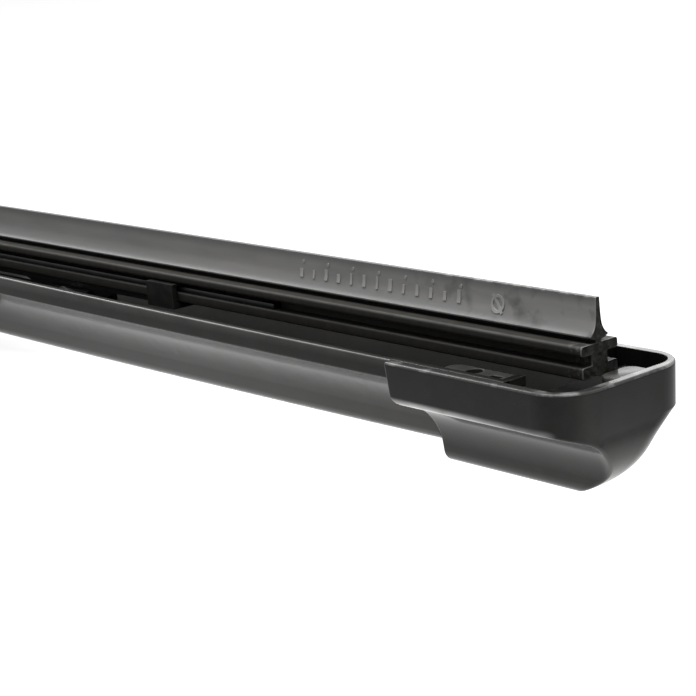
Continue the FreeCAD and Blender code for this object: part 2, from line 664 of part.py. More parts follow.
def cap_hull(inset, rim):
    """Cap without its cove: upright band, then sloping in to the crest like a boat's bow."""
    foot = NOSE_TOP_Z + 0.4 * inset
    draft = 0 if inset else BAND_DRAFT
    band = Part.makeLoft([hull_outline(inset, 0, 0, rim), hull_outline(inset, -draft, -draft, foot)], True)
    slices = []
    for i in range(NOSE_SLICES):
        drop = NOSE_DEPTH * i / (NOSE_SLICES - 1)
        back = draft + NOSE_CURVE * max(drop - NOSE_UPRIGHT, 0) ** NOSE_SWEEP
        side = draft + FLANK_SLOPE * drop
        swell = CORNER_SWELL * math.sin(math.pi * drop / CORNER_SWELL_DEPTH)
        slices.append(hull_outline(inset, -back, -side, foot - drop, swell))
    return band.fuse(Part.makeLoft(slices, True, False, False, 3))


def cap_body(inset, rim):
    below = CAP_SECTION.below(-CAP_OPEN - CAP_OVERRUN - 1, CAP_END + 1, -inset, CAP_KEEL_Y)
    return cap_hull(inset, rim).cut(below)


def end_cap():
    """Boot over the cover's end and the rubber's end, drawn from the rubber's end face."""
    cap = cap_body(0, CAP_RIM_Z)
    cap = cap.makeFillet(CAP_RIM_R, [e for e in cap.Edges
                                     if abs(e.BoundBox.ZMin - CAP_RIM_Z) < 1e-4
                                     and e.BoundBox.XMax > -CAP_OPEN - CAP_OVERRUN + 1])
    cap = cap.makeFillet(CAP_CREASE_R, [e for e in cap.Edges
                                        if abs(e.BoundBox.ZMin - CAP_CREASE_Z) < 0.01
                                        and abs(e.BoundBox.ZMax - CAP_CREASE_Z) < 0.01
                                        and e.BoundBox.YMax < 0])
    core = cap_body(CAP_WALL, SHELL_OPEN_Z)
    floor_low = CAP_FLOOR_Z - CAP_FLOOR_THICK
    floor = box((CAP_FLOOR_X, -CAP_HALF, floor_low), (CAP_END, CAP_HALF, CAP_FLOOR_Z))
    ledge = box((CAP_LEDGE_X, CAP_LEDGE_Y, floor_low), (CAP_END, CAP_HALF, CAP_FLOOR_Z))
    cap = cap.cut(core.cut(floor.fuse(ledge)))
    lean_low = -CAP_OPEN + CAP_OPEN_LEAN
    past = -CAP_OPEN - 2 * CAP_OVERRUN
    crest_low = CAP_CREST_Z - 2 * CAP_CREST_R
    behind = side_prism([(past, SHELL_OPEN_Z), (-CAP_OPEN, SHELL_OPEN_Z), (-CAP_OPEN, CAP_RIM_Z),
                         (lean_low, crest_low), (past, crest_low)], CAP_HALF + 3)
    cap = cap.cut(behind)
    cap = cap.cut(skirt_corner())
    peg_low = PEG_FOOT_Z
    peg = Part.makeCylinder(PEG_R, PEG_TOP_Z - peg_low, V(TONGUE_HOLE_X, PEG_Y, peg_low))
    return cap.fuse(peg).removeSplitter()


def skirt_corner():
    """Tool that rounds the lower open corner of the cap's wind band."""
    r = CAP_SKIRT_R
    x = -CAP_OPEN + 0.25
    z = CAP_SECTION.crease
    near = -CAP_HALF - 2
    deep = CAP_WALL + 2.1
    corner = Part.makeBox(r + 3, deep, r + 3, V(x - 3, near, z - 3))
    keep = Part.makeCylinder(r, deep, V(x + r, near, z + r), V(0, 1, 0))
    return corner.cut(keep)


def housing(sleeve_grow, bulk_grow, end_x, rim):
    """Bulky middle and a slim sleeve at both ends, as one loft."""
    right = [CENTRE_BULK.wire(CENTRE_BULK_X, bulk_grow, rim),
             SIDE_INNER.wire(CENTRE_NECK_X, sleeve_grow, rim),
             SIDE_INNER.wire(end_x, sleeve_grow, rim)]
    left = [SIDE_INNER.wire(-end_x, sleeve_grow, rim),
            SIDE_INNER.wire(-CENTRE_NECK_X, sleeve_grow, rim),
            CENTRE_BULK.wire(-CENTRE_BULK_X, bulk_grow, rim)]
    return Part.makeLoft(left + right, True, True)


def centre_cover():
    """Housing over the main lever, which tapers to a sleeve round each side cover."""
    outer = housing(CENTRE_FIT + COVER_WALL, 0, CENTRE_END_X, None)
    hollow = housing(CENTRE_FIT, -COVER_WALL, CENTRE_END_X + 1, SHELL_OPEN_Z)
    cover = outer.cut(hollow)
    crest_low = CENTRE_CREST_Z - 2 * CENTRE_CREST_R
    window = box((-HOOK_WINDOW_X, -HOOK_WINDOW_HALF, crest_low),
                 (HOOK_WINDOW_X, HOOK_WINDOW_HALF, HOOK_WINDOW_Z))
    cover = cover.cut(window)
    for side in (-1, 1):
        cover = cover.fuse(rib(CENTRE_BULK, side * CENTRE_RIB_X, -MAIN_DEPTH))
    return cover.removeSplitter()


def hook_adapter():
    """Clip that snaps on the cross pin and fills the arm's hook."""
    z = -CROSS_PIN_DEPTH
    r = ADAPTER_NOSE_R
    low = z - r
    body = cross_cylinder(0, z, r, ADAPTER_HALF)
    tail = box((0, -ADAPTER_HALF, low), (ADAPTER_TAIL, ADAPTER_HALF, low + ADAPTER_HEIGHT))
    body = body.fuse(tail)
    wall = ADAPTER_POCKET_WALL
    pocket = box((r, -ADAPTER_HALF + wall, low + wall),
                 (ADAPTER_TAIL - wall, ADAPTER_HALF - wall, low + 2 * ADAPTER_HEIGHT))
    body = body.cut(pocket)
    body = body.cut(cross_cylinder(0, z, CROSS_PIN_R + RUNNING_GAP, ADAPTER_HALF + 1))
    snap = box((-ADAPTER_SNAP_HALF, -ADAPTER_HALF - 1, z), (ADAPTER_SNAP_HALF, ADAPTER_HALF + 1, z + r + 1))
    return body.cut(snap).removeSplitter()


def mirrored(shape):
    return shape.mirror(V(0, 0, 0), V(1, 0, 0))


def all_pieces():
    pieces = {
        "wiper_rubber": wiper_rubber(),
        "backing_strip_wind": backing_strip(-1),
        "backing_strip_lee": backing_strip(1),
        "main_lever": main_lever(),
        "centre_cover": centre_cover(),
        "cross_pin": cross_pin(),
        "hook_adapter": hook_adapter(),
    }
    cap = end_cap()
    cap.translate(V(RUBBER_END, 0, 0))
    right = {
        "side_lever": side_lever(),
        "side_cover": side_cover(),
        "end_cap": cap,
        "lever_pin": lever_pin(),
        "lever_bush": lever_bush(),
        "yoke": yoke(),
        "yoke_pin": yoke_pin(),
    }
    for name, shape in right.items():
        pieces[name + "_right"] = shape
        pieces[name + "_left"] = mirrored(shape)
    return pieces


def main():
    os.makedirs("parts", exist_ok=True)
    for name, shape in all_pieces().items():
        shape.translate(V(0, 0, CROSS_PIN_DEPTH))
        shape.exportStep("parts/" + name + ".step")
        print(name, "solids", len(shape.Solids), "valid", shape.isValid(),
              "volume", round(shape.Volume, 1))


main()
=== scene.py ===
import math

import bmesh
import bpy
from mathutils import Matrix, Vector, geometry, noise

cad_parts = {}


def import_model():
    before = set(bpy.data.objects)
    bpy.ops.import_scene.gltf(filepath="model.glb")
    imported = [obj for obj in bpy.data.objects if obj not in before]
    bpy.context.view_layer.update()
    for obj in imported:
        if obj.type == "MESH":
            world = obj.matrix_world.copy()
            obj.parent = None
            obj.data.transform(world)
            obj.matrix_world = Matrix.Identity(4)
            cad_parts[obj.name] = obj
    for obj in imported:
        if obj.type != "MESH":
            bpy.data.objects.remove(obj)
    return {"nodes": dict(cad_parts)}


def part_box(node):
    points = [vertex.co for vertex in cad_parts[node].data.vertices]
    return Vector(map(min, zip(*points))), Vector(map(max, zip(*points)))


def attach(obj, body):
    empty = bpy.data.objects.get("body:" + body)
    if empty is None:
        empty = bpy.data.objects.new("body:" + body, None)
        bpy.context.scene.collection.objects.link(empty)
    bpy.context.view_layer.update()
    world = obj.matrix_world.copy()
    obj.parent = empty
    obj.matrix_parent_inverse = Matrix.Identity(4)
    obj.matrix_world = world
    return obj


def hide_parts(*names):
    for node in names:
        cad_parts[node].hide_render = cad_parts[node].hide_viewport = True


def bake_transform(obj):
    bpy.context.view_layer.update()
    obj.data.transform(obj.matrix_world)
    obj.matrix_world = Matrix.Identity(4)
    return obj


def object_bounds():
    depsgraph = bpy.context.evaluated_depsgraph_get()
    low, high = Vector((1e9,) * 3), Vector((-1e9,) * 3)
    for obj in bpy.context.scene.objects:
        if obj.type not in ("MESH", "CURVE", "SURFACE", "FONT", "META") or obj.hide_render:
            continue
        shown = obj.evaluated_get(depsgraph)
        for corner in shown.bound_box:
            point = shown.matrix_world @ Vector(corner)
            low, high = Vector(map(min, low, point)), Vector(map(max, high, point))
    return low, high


# A windscreen wiper blade, lip up. X runs along the blade, -Y is the concave wind side,
# Z points to the glass, and the origin is on the cross pin that the wiper arm holds.
# Sizes are in millimetres, as in the part's source, and turned to metres by MM.
# Heights count from the underside of the rubber's base, which lies at BASE_Z.
MM = 0.001
BASE_Z = 9.5
SIDES = ((1, "right"), (-1, "left"))

# Lengths that differ by less than this are the same, and points closer than the next two are one
NEAR = 0.01
MEET_WITHIN = 1e-5
WELD_METRES = 1e-7

# Rubber element: half widths and heights over the underside of its base
RUBBER_HALF_LENGTH = 275.0
BASE_HALF = 3.25
BASE_TOP = 1.57
CORE_HALF = 1.4
SLOT_TOP = 3.1
FLANGE_HALF = 3.4
FLANGE_TOP = 4.4
NECK_HALF = 0.35
NECK_TOP = 4.7
SHOULDER_HALF = 1.65
SHOULDER_Z = 5.15
SHOULDER_BAND = 0.2
LIP_HALF = 0.33
LIP_TOP = 10.3
BASE_EDGE_R = 0.25
SLOT_CORNER_R = 0.15
FLANGE_EDGE_R = 0.35
NECK_CORNER_R = 0.1
SHOULDER_EDGE_R = 0.08
RUBBER_STATION = 4.0

# The lip's hollow flank: half widths at shares of the lip's rise, and the curve's tangents from the
# shoulder to the wiping edge. The marks are pressed onto a power curve that lies close to it
FLANK_KNOTS = ((SHOULDER_HALF - 0.7, 0.17), (0.5, 0.42))
FLANK_TANGENTS = ((-0.28, 0.12), (-0.2, 0.3), (-0.09, 0.7), (-0.03, 1.1))
FLANK_POINTS = 7
LIP_EDGE = 0.05
FLANK_POWER = 3.6
FLANK_SWELL = 1.21

# Torn ends of the rubber, and the tear that reaches back over the lip's shoulder
TORN_STEP = 0.32
TORN_SHIFT = 0.12
TORN_DEPTH = 0.16
TORN_LEVEL = 0.05
TORN_SCALE = 1.3
TORN_LAYER = 3.0
TORN_NOISE = (0.8, 2.1, 4)
SHIFT_SCALE = (1.7, 2.3)
SHIFT_LAYERS = (0.5, 7.5)
SHIFT_NOISE = (1.0, 2.0, 2)
TEAR_BACK = 2.6
TEAR_RAGGED = 2.4
TEAR_HIGH_Z = SHOULDER_Z + 0.9
TEAR_LOW_Z = SHOULDER_Z + 0.2

# The rubber is made in lengths that meet here
RUBBER_SEAM_X = 110.0

# Spring strips in the rubber's slots
STRIP_HALF = 2.9
STRIP_INNER = 1.46
STRIP_LOW = 1.63
STRIP_THICK = 0.8
STRIP_STATION = 5.0

# Shells of the covers and caps: walls, the cove's circle on the wind side, the lee flank's slope
CAP_END = 280.45
CAP_HALF = 12.25
CAP_CORNER_R = 6.3
CAP_CREASE_Z = -4.95
CAP_RIM_Z = 0.57
SIDE_HALF = 11.0
SIDE_CREASE_Z = -2.1
SIDE_SHELL = {"half": SIDE_HALF, "wall": 1.4, "end": 1000.0, "cove": (-10.8, -11.1), "cove_r": 8.05,
              "lee_reach": 9.3}
CAP_SHELL = {"half": CAP_HALF, "wall": 1.45, "end": CAP_END, "cove": (-10.8, -12.4), "cove_r": 6.5,
             "lee_reach": 12.1}
LEE_ANGLE = -46.7
RIM_MARGIN = 0.45
NOSE_FROM = 266.0
NOSE_OUTWARDS = 0.1
KEEL_DOWNWARDS = -0.35
TONGUE_X = (255.3, 268.1)
TONGUE_Y = (-9.6, -6.3)
TONGUE_Z = (-0.9, 0.3)
# Extra slots on a shell: its inner faces, in painted shade, and its tongue
INSIDE_SHADE_SLOT = 1
TONGUE_SLOT = 2

# Moulding marks on the lip's wind side, by their place along the blade: plain ticks, dots and a ring
MARKS_FROM = 217.5
TICK_COUNT = 13
TICK_STEP = 2.75
TICK_LOW = 6.75
TICK_HEIGHT = 1.75
TICK_WIDTH = 0.5
TICK_SMALLEST = (0.8, 1.0, 0.62)
TICK_LARGEST = (1.5, 1.0, 1.0)
DOTS_FROM = MARKS_FROM + 0.4
DOT_COUNT = 7
DOT_STEP = 5.5
DOT_Z = 9.05
DOT_R = 0.27
RING_AT = (257.8, 7.45)
RING_R = 1.05
RING_WIRE = 0.2
BAR_LENGTH = 2.9
BAR_DEPTH = 0.9
BAR_LEAN = -38.0
MARKS_SEED = 4
MARK_RISE = 0.11
MARK_ROOT = 0.06

# Web across the closed end of a cap, just under its rim
WEB_X = (275.35, 279.1)
WEB_Y = (-1.2, 5.1)
WEB_Z = (-0.75, 0.32)
WEB_CORNER_R = 1.6
WEB_CORNER_STEPS = 6

# Camera of the photograph
CAMERA_AT = (437.70, -180.97, 76.57)
CAMERA_RIGHT = (0.66223, 0.74546, -0.07578)
CAMERA_DOWN = (0.1346, -0.21784, -0.96666)
CAMERA_AHEAD = (-0.73711, 0.62995, -0.2446)
CAMERA_LENS = 101.6
CAMERA_SENSOR = 36.0
CAMERA_CLIP = (0.01, 20.0)

# Studio
WORLD_LIGHT = 0.12
SKY_TINT = (0.96, 0.98, 1.0, 1.0)
WHITE = (1.0, 1.0, 1.0, 1.0)
FLOOR_GREY = (0.3, 0.3, 0.3, 1.0)
FLOOR_HALF = 8.0
FLOOR_GLOW = 0.9
TABLE_LIGHT = 1.55
TABLE_SPREAD = 22.0
TABLE_END_SPREAD = 55.0
TABLE_MIDDLE = 0.6
TABLE_MIDDLE_X = (95.0, 185.0)

# Colours of the finishes
COVER_BLACK = (0.007, 0.0068, 0.0064)
CAP_BLACK = (0.009, 0.009, 0.0093)
# Inner faces of the shells: a darker, duller copy of the plastic, painted shade
INSIDE_SHADE_BLACK = (0.006, 0.0058, 0.0052)
TONGUE_BLACK = (0.018, 0.018, 0.0165)
# Pale web colour is a painted highlight inside the cap's end
WEB_HIGHLIGHT_GREY = (0.04, 0.04, 0.038)
BUSH_CREAM = (0.62, 0.60, 0.55)
ADAPTER_BLACK = (0.02, 0.02, 0.02)
RUBBER_BLACK = (0.031, 0.0298, 0.0268)
CUT_BLACK = (0.006, 0.006, 0.0055)
LIP_GREY = (0.128, 0.127, 0.125)
MARK_GREY = (0.30, 0.297, 0.29)
SPRING_GREY = (0.035, 0.035, 0.036)
PAINT_BLACK = (0.004, 0.004, 0.004)
RIVET_GREY = (0.45, 0.45, 0.46)
WARM_GLOSS = (1.0, 0.985, 0.95, 1.0)

# Colours of wear and coats, and of painted highlights and painted shade
# Painted highlights on the side covers' crease, rim and edges
SIDE_CREASE_HIGHLIGHT = (0.06, 0.06, 0.058)
SIDE_RIM_HIGHLIGHT = (0.05, 0.05, 0.048)
SIDE_EDGE_HIGHLIGHT = (0.10, 0.10, 0.098)
# Painted highlights on the caps' crease, low nose, rim and edges
CAP_CREASE_HIGHLIGHT = (0.9, 0.9, 0.89)
CAP_NOSE_HIGHLIGHT = (0.10, 0.10, 0.098)
CAP_RIM_HIGHLIGHT = (0.2, 0.2, 0.195)
CAP_EDGE_HIGHLIGHT = (0.16, 0.16, 0.157)
# Painted highlights on the tongue's edges
TONGUE_EDGE_HIGHLIGHT = (0.12, 0.12, 0.117)
# Painted highlights on the rubber's flange and base edges
FLANGE_EDGE_HIGHLIGHT = (0.085, 0.085, 0.082)
BASE_EDGE_HIGHLIGHT = (0.06, 0.059, 0.056)
RUBBER_SMEAR = (0.13, 0.13, 0.125)
# Painted highlight along the rubber's cut end
RUBBER_CUT_HIGHLIGHT = (0.16, 0.16, 0.155)
# Lip: a coat, paler in the flank's middle as painted light, and painted shade towards the blade's middle
LIP_COAT_AND_LIGHT = (0.26, 0.257, 0.25)
LIP_MIDDLE_SHADE = (0.05, 0.05, 0.048)
# Lip scuffs, with a painted highlight line at the cut
LIP_SCUFF_AND_CUT_HIGHLIGHT = (0.27, 0.267, 0.26)
LIP_TEAR = (0.012, 0.012, 0.011)
LIP_SMEAR = (0.055, 0.055, 0.053)

# Radius that moulded edges seem to have in the light, and radius over which their painted edge highlight is
# found
SOFT_EDGE_R = 0.25
HIGHLIGHT_EDGE_R = 0.14


# Nodes, for materials and geometry alike

def feed(tree, socket, source):
    """Links an input from a socket, or sets it to a plain value."""
    if isinstance(source, bpy.types.NodeSocket):
        tree.links.new(source, socket)
    else:
        socket.default_value = source


def fill(tree, node, **inputs):
    """Feeds a node's inputs by name, with underscores for spaces."""
    for label, source in inputs.items():
        feed(tree, node.inputs[label.replace("_", " ")], source)


def add_node(tree, kind, settings=None, **inputs):
    """A new node with its settings, and with its inputs fed."""
    node = tree.nodes.new(kind)
    for key, value in (settings or {}).items():
        setattr(node, key, value)
    fill(tree, node, **inputs)
    return node


def add_math(tree, operation, *sources):
    """The result of a maths node over sockets and plain numbers."""
    node = add_node(tree, "ShaderNodeMath", {"operation": operation})
    for socket, source in zip(node.inputs, sources):
        feed(tree, socket, source)
    return node.outputs[0]


def add_vector_math(tree, operation, *sources):
    """The number that a vector maths node gives."""
    node = add_node(tree, "ShaderNodeVectorMath", {"operation": operation})
    for socket, source in zip(node.inputs, sources):
        feed(tree, socket, source)
    return node.outputs["Value"]


def combined(tree, **numbers):
    """A vector from sockets and plain numbers for X, Y and Z, with zero for those left out."""
    return add_node(tree, "ShaderNodeCombineXYZ", **numbers).outputs["Vector"]


def product(tree, first, *others):
    """The product of numbers or masks."""
    for other in others:
        first = add_math(tree, "MULTIPLY", first, other)
    return first


def ramp(tree, value, start, end, low=0.0, high=1.0, soft=False):
    """Goes from low at start to high at end, straight or softly, and is level beyond them."""
    shape = {"interpolation_type": "SMOOTHSTEP" if soft else "LINEAR"}
    node = add_node(tree, "ShaderNodeMapRange", shape, Value=value, From_Min=start, From_Max=end,
                    To_Min=low, To_Max=high)
    return node.outputs["Result"]


def object_noise(tree, scale, detail=2.0, roughness=0.5, stretch=None):
    """Noise in the object's own coordinates, about a half, finer along the axes that are stretched."""
    place = add_node(tree, "ShaderNodeTexCoord").outputs["Object"]
    if stretch:
        place = add_node(tree, "ShaderNodeMapping", Vector=place, Scale=stretch).outputs["Vector"]
    node = add_node(tree, "ShaderNodeTexNoise", Vector=place, Scale=scale, Detail=detail,
                    Roughness=roughness)
    return node.outputs["Fac"]


def mix_colour(tree, mask, below, above):
    """Lays one colour over another where a mask says."""
    node = add_node(tree, "ShaderNodeMix", {"data_type": "RGBA"}, Factor=mask, A=below, B=above)
    return node.outputs["Result"]


# Camera, floor and light

def make_camera():
    data = bpy.data.cameras.new("camera")
    data.sensor_width = CAMERA_SENSOR
    data.lens = CAMERA_LENS
    data.clip_start, data.clip_end = CAMERA_CLIP
    camera = bpy.data.objects.new("camera", data)
    bpy.context.scene.collection.objects.link(camera)
    axes = Matrix((CAMERA_RIGHT, [-v for v in CAMERA_DOWN], [-v for v in CAMERA_AHEAD])).transposed()
    camera.matrix_world = Matrix.Translation(Vector(CAMERA_AT) * MM) @ axes.to_4x4()
    bpy.context.scene.camera = camera


def area_light(name, at, aim, size, power):
    """A rectangular softbox, with places and sizes in metres."""
    data = bpy.data.lights.new(name, "AREA")
    data.shape = "RECTANGLE"
    data.size, data.size_y = size
    data.energy = power
    light = bpy.data.objects.new(name, data)
    light.location = at
    light.rotation_euler = (Vector(aim) - Vector(at)).to_track_quat("-Z", "Y").to_euler()
    bpy.context.scene.collection.objects.link(light)


def make_lights():
    area_light("overhead_softbox", at=(0.26, -0.12, 0.80), aim=(0.22, 0.0, 0.0), size=(0.8, 0.4), power=9.0)
    area_light("end_softbox", at=(-0.46, 0.07, 0.54), aim=(0.20, 0.0, 0.0), size=(0.40, 0.40), power=3.0)
    area_light("low_back_softbox", at=(-0.20, 0.60, 0.20), aim=(0.26, 0.0, 0.0), size=(0.45, 0.22),
               power=0.48)


def backdrop_rays(tree):
    """1 for the rays that show the backdrop: straight to the camera, in gloss or through glass."""
    path = add_node(tree, "ShaderNodeLightPath")
    seen = add_math(tree, "MAXIMUM", path.outputs["Is Camera Ray"], path.outputs["Is Glossy Ray"])
    return add_math(tree, "MAXIMUM", seen, path.outputs["Is Transmission Ray"])


def make_world():
    bpy.context.scene.view_settings.view_transform = "Standard"
    world = bpy.data.worlds.new("studio")
    bpy.context.scene.world = world
    world.use_nodes = True
    tree = world.node_tree
    tree.nodes.clear()
    dim = add_node(tree, "ShaderNodeBackground", Color=SKY_TINT, Strength=WORLD_LIGHT)
    white = add_node(tree, "ShaderNodeBackground", Color=WHITE, Strength=1.0)
    mix = add_node(tree, "ShaderNodeMixShader", Fac=backdrop_rays(tree))
    tree.links.new(dim.outputs["Background"], mix.inputs[1])
    tree.links.new(white.outputs["Background"], mix.inputs[2])
    add_node(tree, "ShaderNodeOutputWorld", Surface=mix.outputs["Shader"])


def floor_material():
    """Opal table, lit round the blade. Where it is seen it adds its own white and keeps the shadow."""
    mat = bpy.data.materials.new("opal_table")
    mat.use_nodes = True
    tree = mat.node_tree
    tree.nodes.clear()
    path = add_node(tree, "ShaderNodeLightPath")
    seen_white = add_math(tree, "MULTIPLY", path.outputs["Is Camera Ray"], FLOOR_GLOW)
    strength = add_math(tree, "MAXIMUM", seen_white, table_light(tree))
    paper = add_node(tree, "ShaderNodeBsdfDiffuse", Color=FLOOR_GREY)
    glow = add_node(tree, "ShaderNodeEmission", Color=WHITE, Strength=strength)
    both = add_node(tree, "ShaderNodeAddShader")
    tree.links.new(paper.outputs["BSDF"], both.inputs[0])
    tree.links.new(glow.outputs["Emission"], both.inputs[1])
    add_node(tree, "ShaderNodeOutputMaterial", Surface=both.outputs["Shader"])
    return mat


def table_light(tree):
    """Strength of the table's own light: it falls off away from the blade and towards its middle."""
    place = add_node(tree, "ShaderNodeTexCoord").outputs["Object"]
    split = add_node(tree, "ShaderNodeSeparateXYZ", Vector=place)
    along = add_math(tree, "ABSOLUTE", split.outputs["X"])
    across = split.outputs["Y"]
    past_end = add_math(tree, "SUBTRACT", along, RUBBER_HALF_LENGTH * MM)
    beyond = add_math(tree, "MAXIMUM", past_end, 0.0)
    slower = add_math(tree, "MULTIPLY", beyond, TABLE_SPREAD / TABLE_END_SPREAD)
    squares = add_math(tree, "ADD", product(tree, slower, slower), product(tree, across, across))
    scaled = add_math(tree, "DIVIDE", squares, (TABLE_SPREAD * MM) ** 2)
    share = add_math(tree, "DIVIDE", TABLE_LIGHT, add_math(tree, "ADD", scaled, 1.0))
    dark_to, lit_from = TABLE_MIDDLE_X
    return product(tree, share, ramp(tree, along, dark_to * MM, lit_from * MM, low=TABLE_MIDDLE, soft=True))


def make_floor(lowest):
    half = FLOOR_HALF
    mesh = bpy.data.meshes.new("floor")
    corners = [(-half, -half, lowest), (half, -half, lowest), (half, half, lowest), (-half, half, lowest)]
    mesh.from_pydata(corners, [], [(0, 1, 2, 3)])
    mesh.materials.append(floor_material())
    floor = bpy.data.objects.new("floor", mesh)
    bpy.context.scene.collection.objects.link(floor)


# Node groups that several materials share. Their places and widths are in millimetres

def new_group(name, inputs, results):
    """A shader group, with its inputs' usual values and the names of what it puts out."""
    tree = bpy.data.node_groups.new(name, "ShaderNodeTree")
    for label, value in inputs.items():
        kind = "NodeSocketColor" if isinstance(value, tuple) else "NodeSocketFloat"
        tree.interface.new_socket(name=label, in_out="INPUT", socket_type=kind).default_value = value
    for label in results:
        kind = "NodeSocketColor" if label == "Color" else "NodeSocketFloat"
        tree.interface.new_socket(name=label, in_out="OUTPUT", socket_type=kind)
    given = tree.nodes.new("NodeGroupInput").outputs
    out = tree.nodes.new("NodeGroupOutput").inputs
    return tree, given, out


def blade_place(tree):
    """Distance from the blade's middle, Y, and height over the rubber's underside, in millimetres."""
    place = add_node(tree, "ShaderNodeTexCoord").outputs["Object"]
    split = add_node(tree, "ShaderNodeSeparateXYZ", Vector=place)
    x, y, height = [add_math(tree, "DIVIDE", split.outputs[axis], MM) for axis in "XYZ"]
    return add_math(tree, "ABSOLUTE", x), y, add_math(tree, "SUBTRACT", height, BASE_Z)


def moulded_grain_group():
    """Fine spark-eroded texture of moulded plastic, with slow waves of gloss over it."""
    tree, given, out = new_group(
        "moulded_grain", {"Grain": 2500.0, "Roughness": 0.4, "Variation": 0.1}, ["Height", "Roughness"])
    wave = add_math(tree, "SUBTRACT", object_noise(tree, scale=90.0, detail=4.0), 0.5)
    swing = product(tree, wave, given["Variation"])
    feed(tree, out["Height"], object_noise(tree, given["Grain"], detail=3.0))
    feed(tree, out["Roughness"], add_math(tree, "ADD", swing, given["Roughness"]))
    return tree


def dust_group():
    """A thin film of dust that lies in patches."""
    tree, given, out = new_group(
        "dust",
        {"Base": (0.02, 0.02, 0.02, 1.0), "Dust": (0.25, 0.24, 0.22, 1.0), "Amount": 0.05,
         "Patches": 250.0},
        ["Color", "Mask"])
    patches = ramp(tree, object_noise(tree, given["Patches"], detail=6.0, roughness=0.65),
                   start=0.42, end=0.75)
    share = product(tree, patches, given["Amount"])
    feed(tree, out["Color"], mix_colour(tree, share, given["Base"], given["Dust"]))
    feed(tree, out["Mask"], share)
    return tree


def highlight_line_group():
    """A soft, patchy line of painted highlight at a height and distance across, which fades between two
    places along it.
    """
    tree, given, out = new_group(
        "painted_highlight_line",
        {"Y": -CAP_HALF, "Z": CAP_CREASE_Z, "Width": 0.4, "Patches": 160.0,
         "Fades From": CAP_END - 24.0, "Faint At": CAP_END - 9.0},
        ["Mask"])
    along, y, z = blade_place(tree)
    fading = ramp(tree, along, given["Fades From"], given["Faint At"], low=1.0, high=0.3)
    offset = combined(tree, X=add_math(tree, "SUBTRACT", y, given["Y"]),
                      Y=add_math(tree, "SUBTRACT", z, given["Z"]))
    away = add_vector_math(tree, "LENGTH", offset)
    on_line = ramp(tree, away, start=0.0, end=given["Width"], low=1.0, high=0.0, soft=True)
    patchy = ramp(tree, object_noise(tree, given["Patches"]), start=0.3, end=0.6, low=0.5)
    feed(tree, out["Mask"], product(tree, on_line, patchy, fading))
    return tree


def edge_highlight_group():
    """Painted highlights on moulded edges: a mask where a rounded normal turns away from the flat one."""
    tree, given, out = new_group(
        "edge_highlight",
        {"Sharpest": 0.10, "Softest": 0.02, "Patches": 400.0, "None Under": -10.5, "Full Over": -8.5},
        ["Mask"])
    _, _, z = blade_place(tree)
    high = ramp(tree, z, given["None Under"], given["Full Over"], soft=True)
    rolled = add_node(tree, "ShaderNodeBevel", {"samples": 8}, Radius=HIGHLIGHT_EDGE_R * MM)
    flat = add_node(tree, "ShaderNodeNewGeometry")
    alike = add_vector_math(tree, "DOT_PRODUCT", rolled.outputs["Normal"], flat.outputs["Normal"])
    turned = ramp(tree, add_math(tree, "SUBTRACT", 1.0, alike), given["Softest"], given["Sharpest"])
    patchy = ramp(tree, object_noise(tree, given["Patches"], detail=4.0),
                  start=0.35, end=0.6, low=0.25)
    feed(tree, out["Mask"], product(tree, turned, patchy, high))
    return tree


def nose_highlight_group():
    """Painted highlight low on a cap's nose, stronger towards its keel."""
    tree, given, out = new_group(
        "nose_highlight",
        {"High": -6.6, "Low": -10.2, "Length From": CAP_END - 2.2, "Length To": CAP_END - 0.3},
        ["Mask"])
    along, _, z = blade_place(tree)
    down = ramp(tree, z, given["High"], given["Low"], soft=True)
    out_far = ramp(tree, along, given["Length From"], given["Length To"], soft=True)
    feed(tree, out["Mask"], product(tree, down, out_far))
    return tree


def smears_group():
    """Smears on the rubber that gather towards its ends."""
    tree, given, out = new_group(
        "end_smears",
        {"From": RUBBER_HALF_LENGTH - 3.4, "Full From": RUBBER_HALF_LENGTH - 2.0, "Patches": 1500.0},
        ["Mask"])
    along, _, _ = blade_place(tree)
    near_end = ramp(tree, along, given["From"], given["Full From"], soft=True)
    patches = ramp(tree, object_noise(tree, given["Patches"], detail=6.0), start=0.5, end=0.72)
    feed(tree, out["Mask"], product(tree, near_end, patches))
    return tree


def rim_highlight_group():
    """Patchy painted highlight on a shell's rim: a faint film all over it, and a few strong spots."""
    tree, given, out = new_group(
        "rim_highlight", {"Height": CAP_RIM_Z - 0.3, "Film": 0.12, "Patches": 230.0}, ["Mask"])
    _, _, z = blade_place(tree)
    on_rim = add_math(tree, "GREATER_THAN", z, given["Height"])
    spots = ramp(tree, object_noise(tree, given["Patches"], detail=5.0),
                 start=0.52, end=0.66, low=given["Film"])
    feed(tree, out["Mask"], product(tree, on_rim, spots))
    return tree


def lip_coat_and_light_group():
    """The lip's graphite coat in soft clouds, with painted light and shade. Mask: thin at the wiping edge and
    at the shoulder, full between them, so that the flank's middle is painted paler. Middle Shade: painted
    shade, stronger towards the blade's middle."""
    tree, given, out = new_group(
        "lip_coat_and_painted_light",
        {"Thin Top": LIP_TOP - 0.1, "Full Top": LIP_TOP - 1.6, "Full Low": LIP_TOP - 3.2,
         "Thin Low": LIP_TOP - 4.4, "Shade Full At": 130.0, "Shade Gone At": 262.0},
        ["Mask", "Middle Shade"])
    along, _, z = blade_place(tree)
    middle_shade = ramp(tree, along, given["Shade Full At"], given["Shade Gone At"], low=0.4, high=0.0, soft=True)
    from_top = ramp(tree, z, given["Thin Top"], given["Full Top"], soft=True)
    from_low = ramp(tree, z, given["Thin Low"], given["Full Low"], soft=True)
    clouds = ramp(tree, object_noise(tree, scale=1.0, detail=5.0, stretch=(60.0, 200.0, 300.0)),
                  start=0.3, end=0.7, low=0.45)
    feed(tree, out["Mask"], product(tree, from_top, from_low, clouds))
    feed(tree, out["Middle Shade"], middle_shade)
    return tree


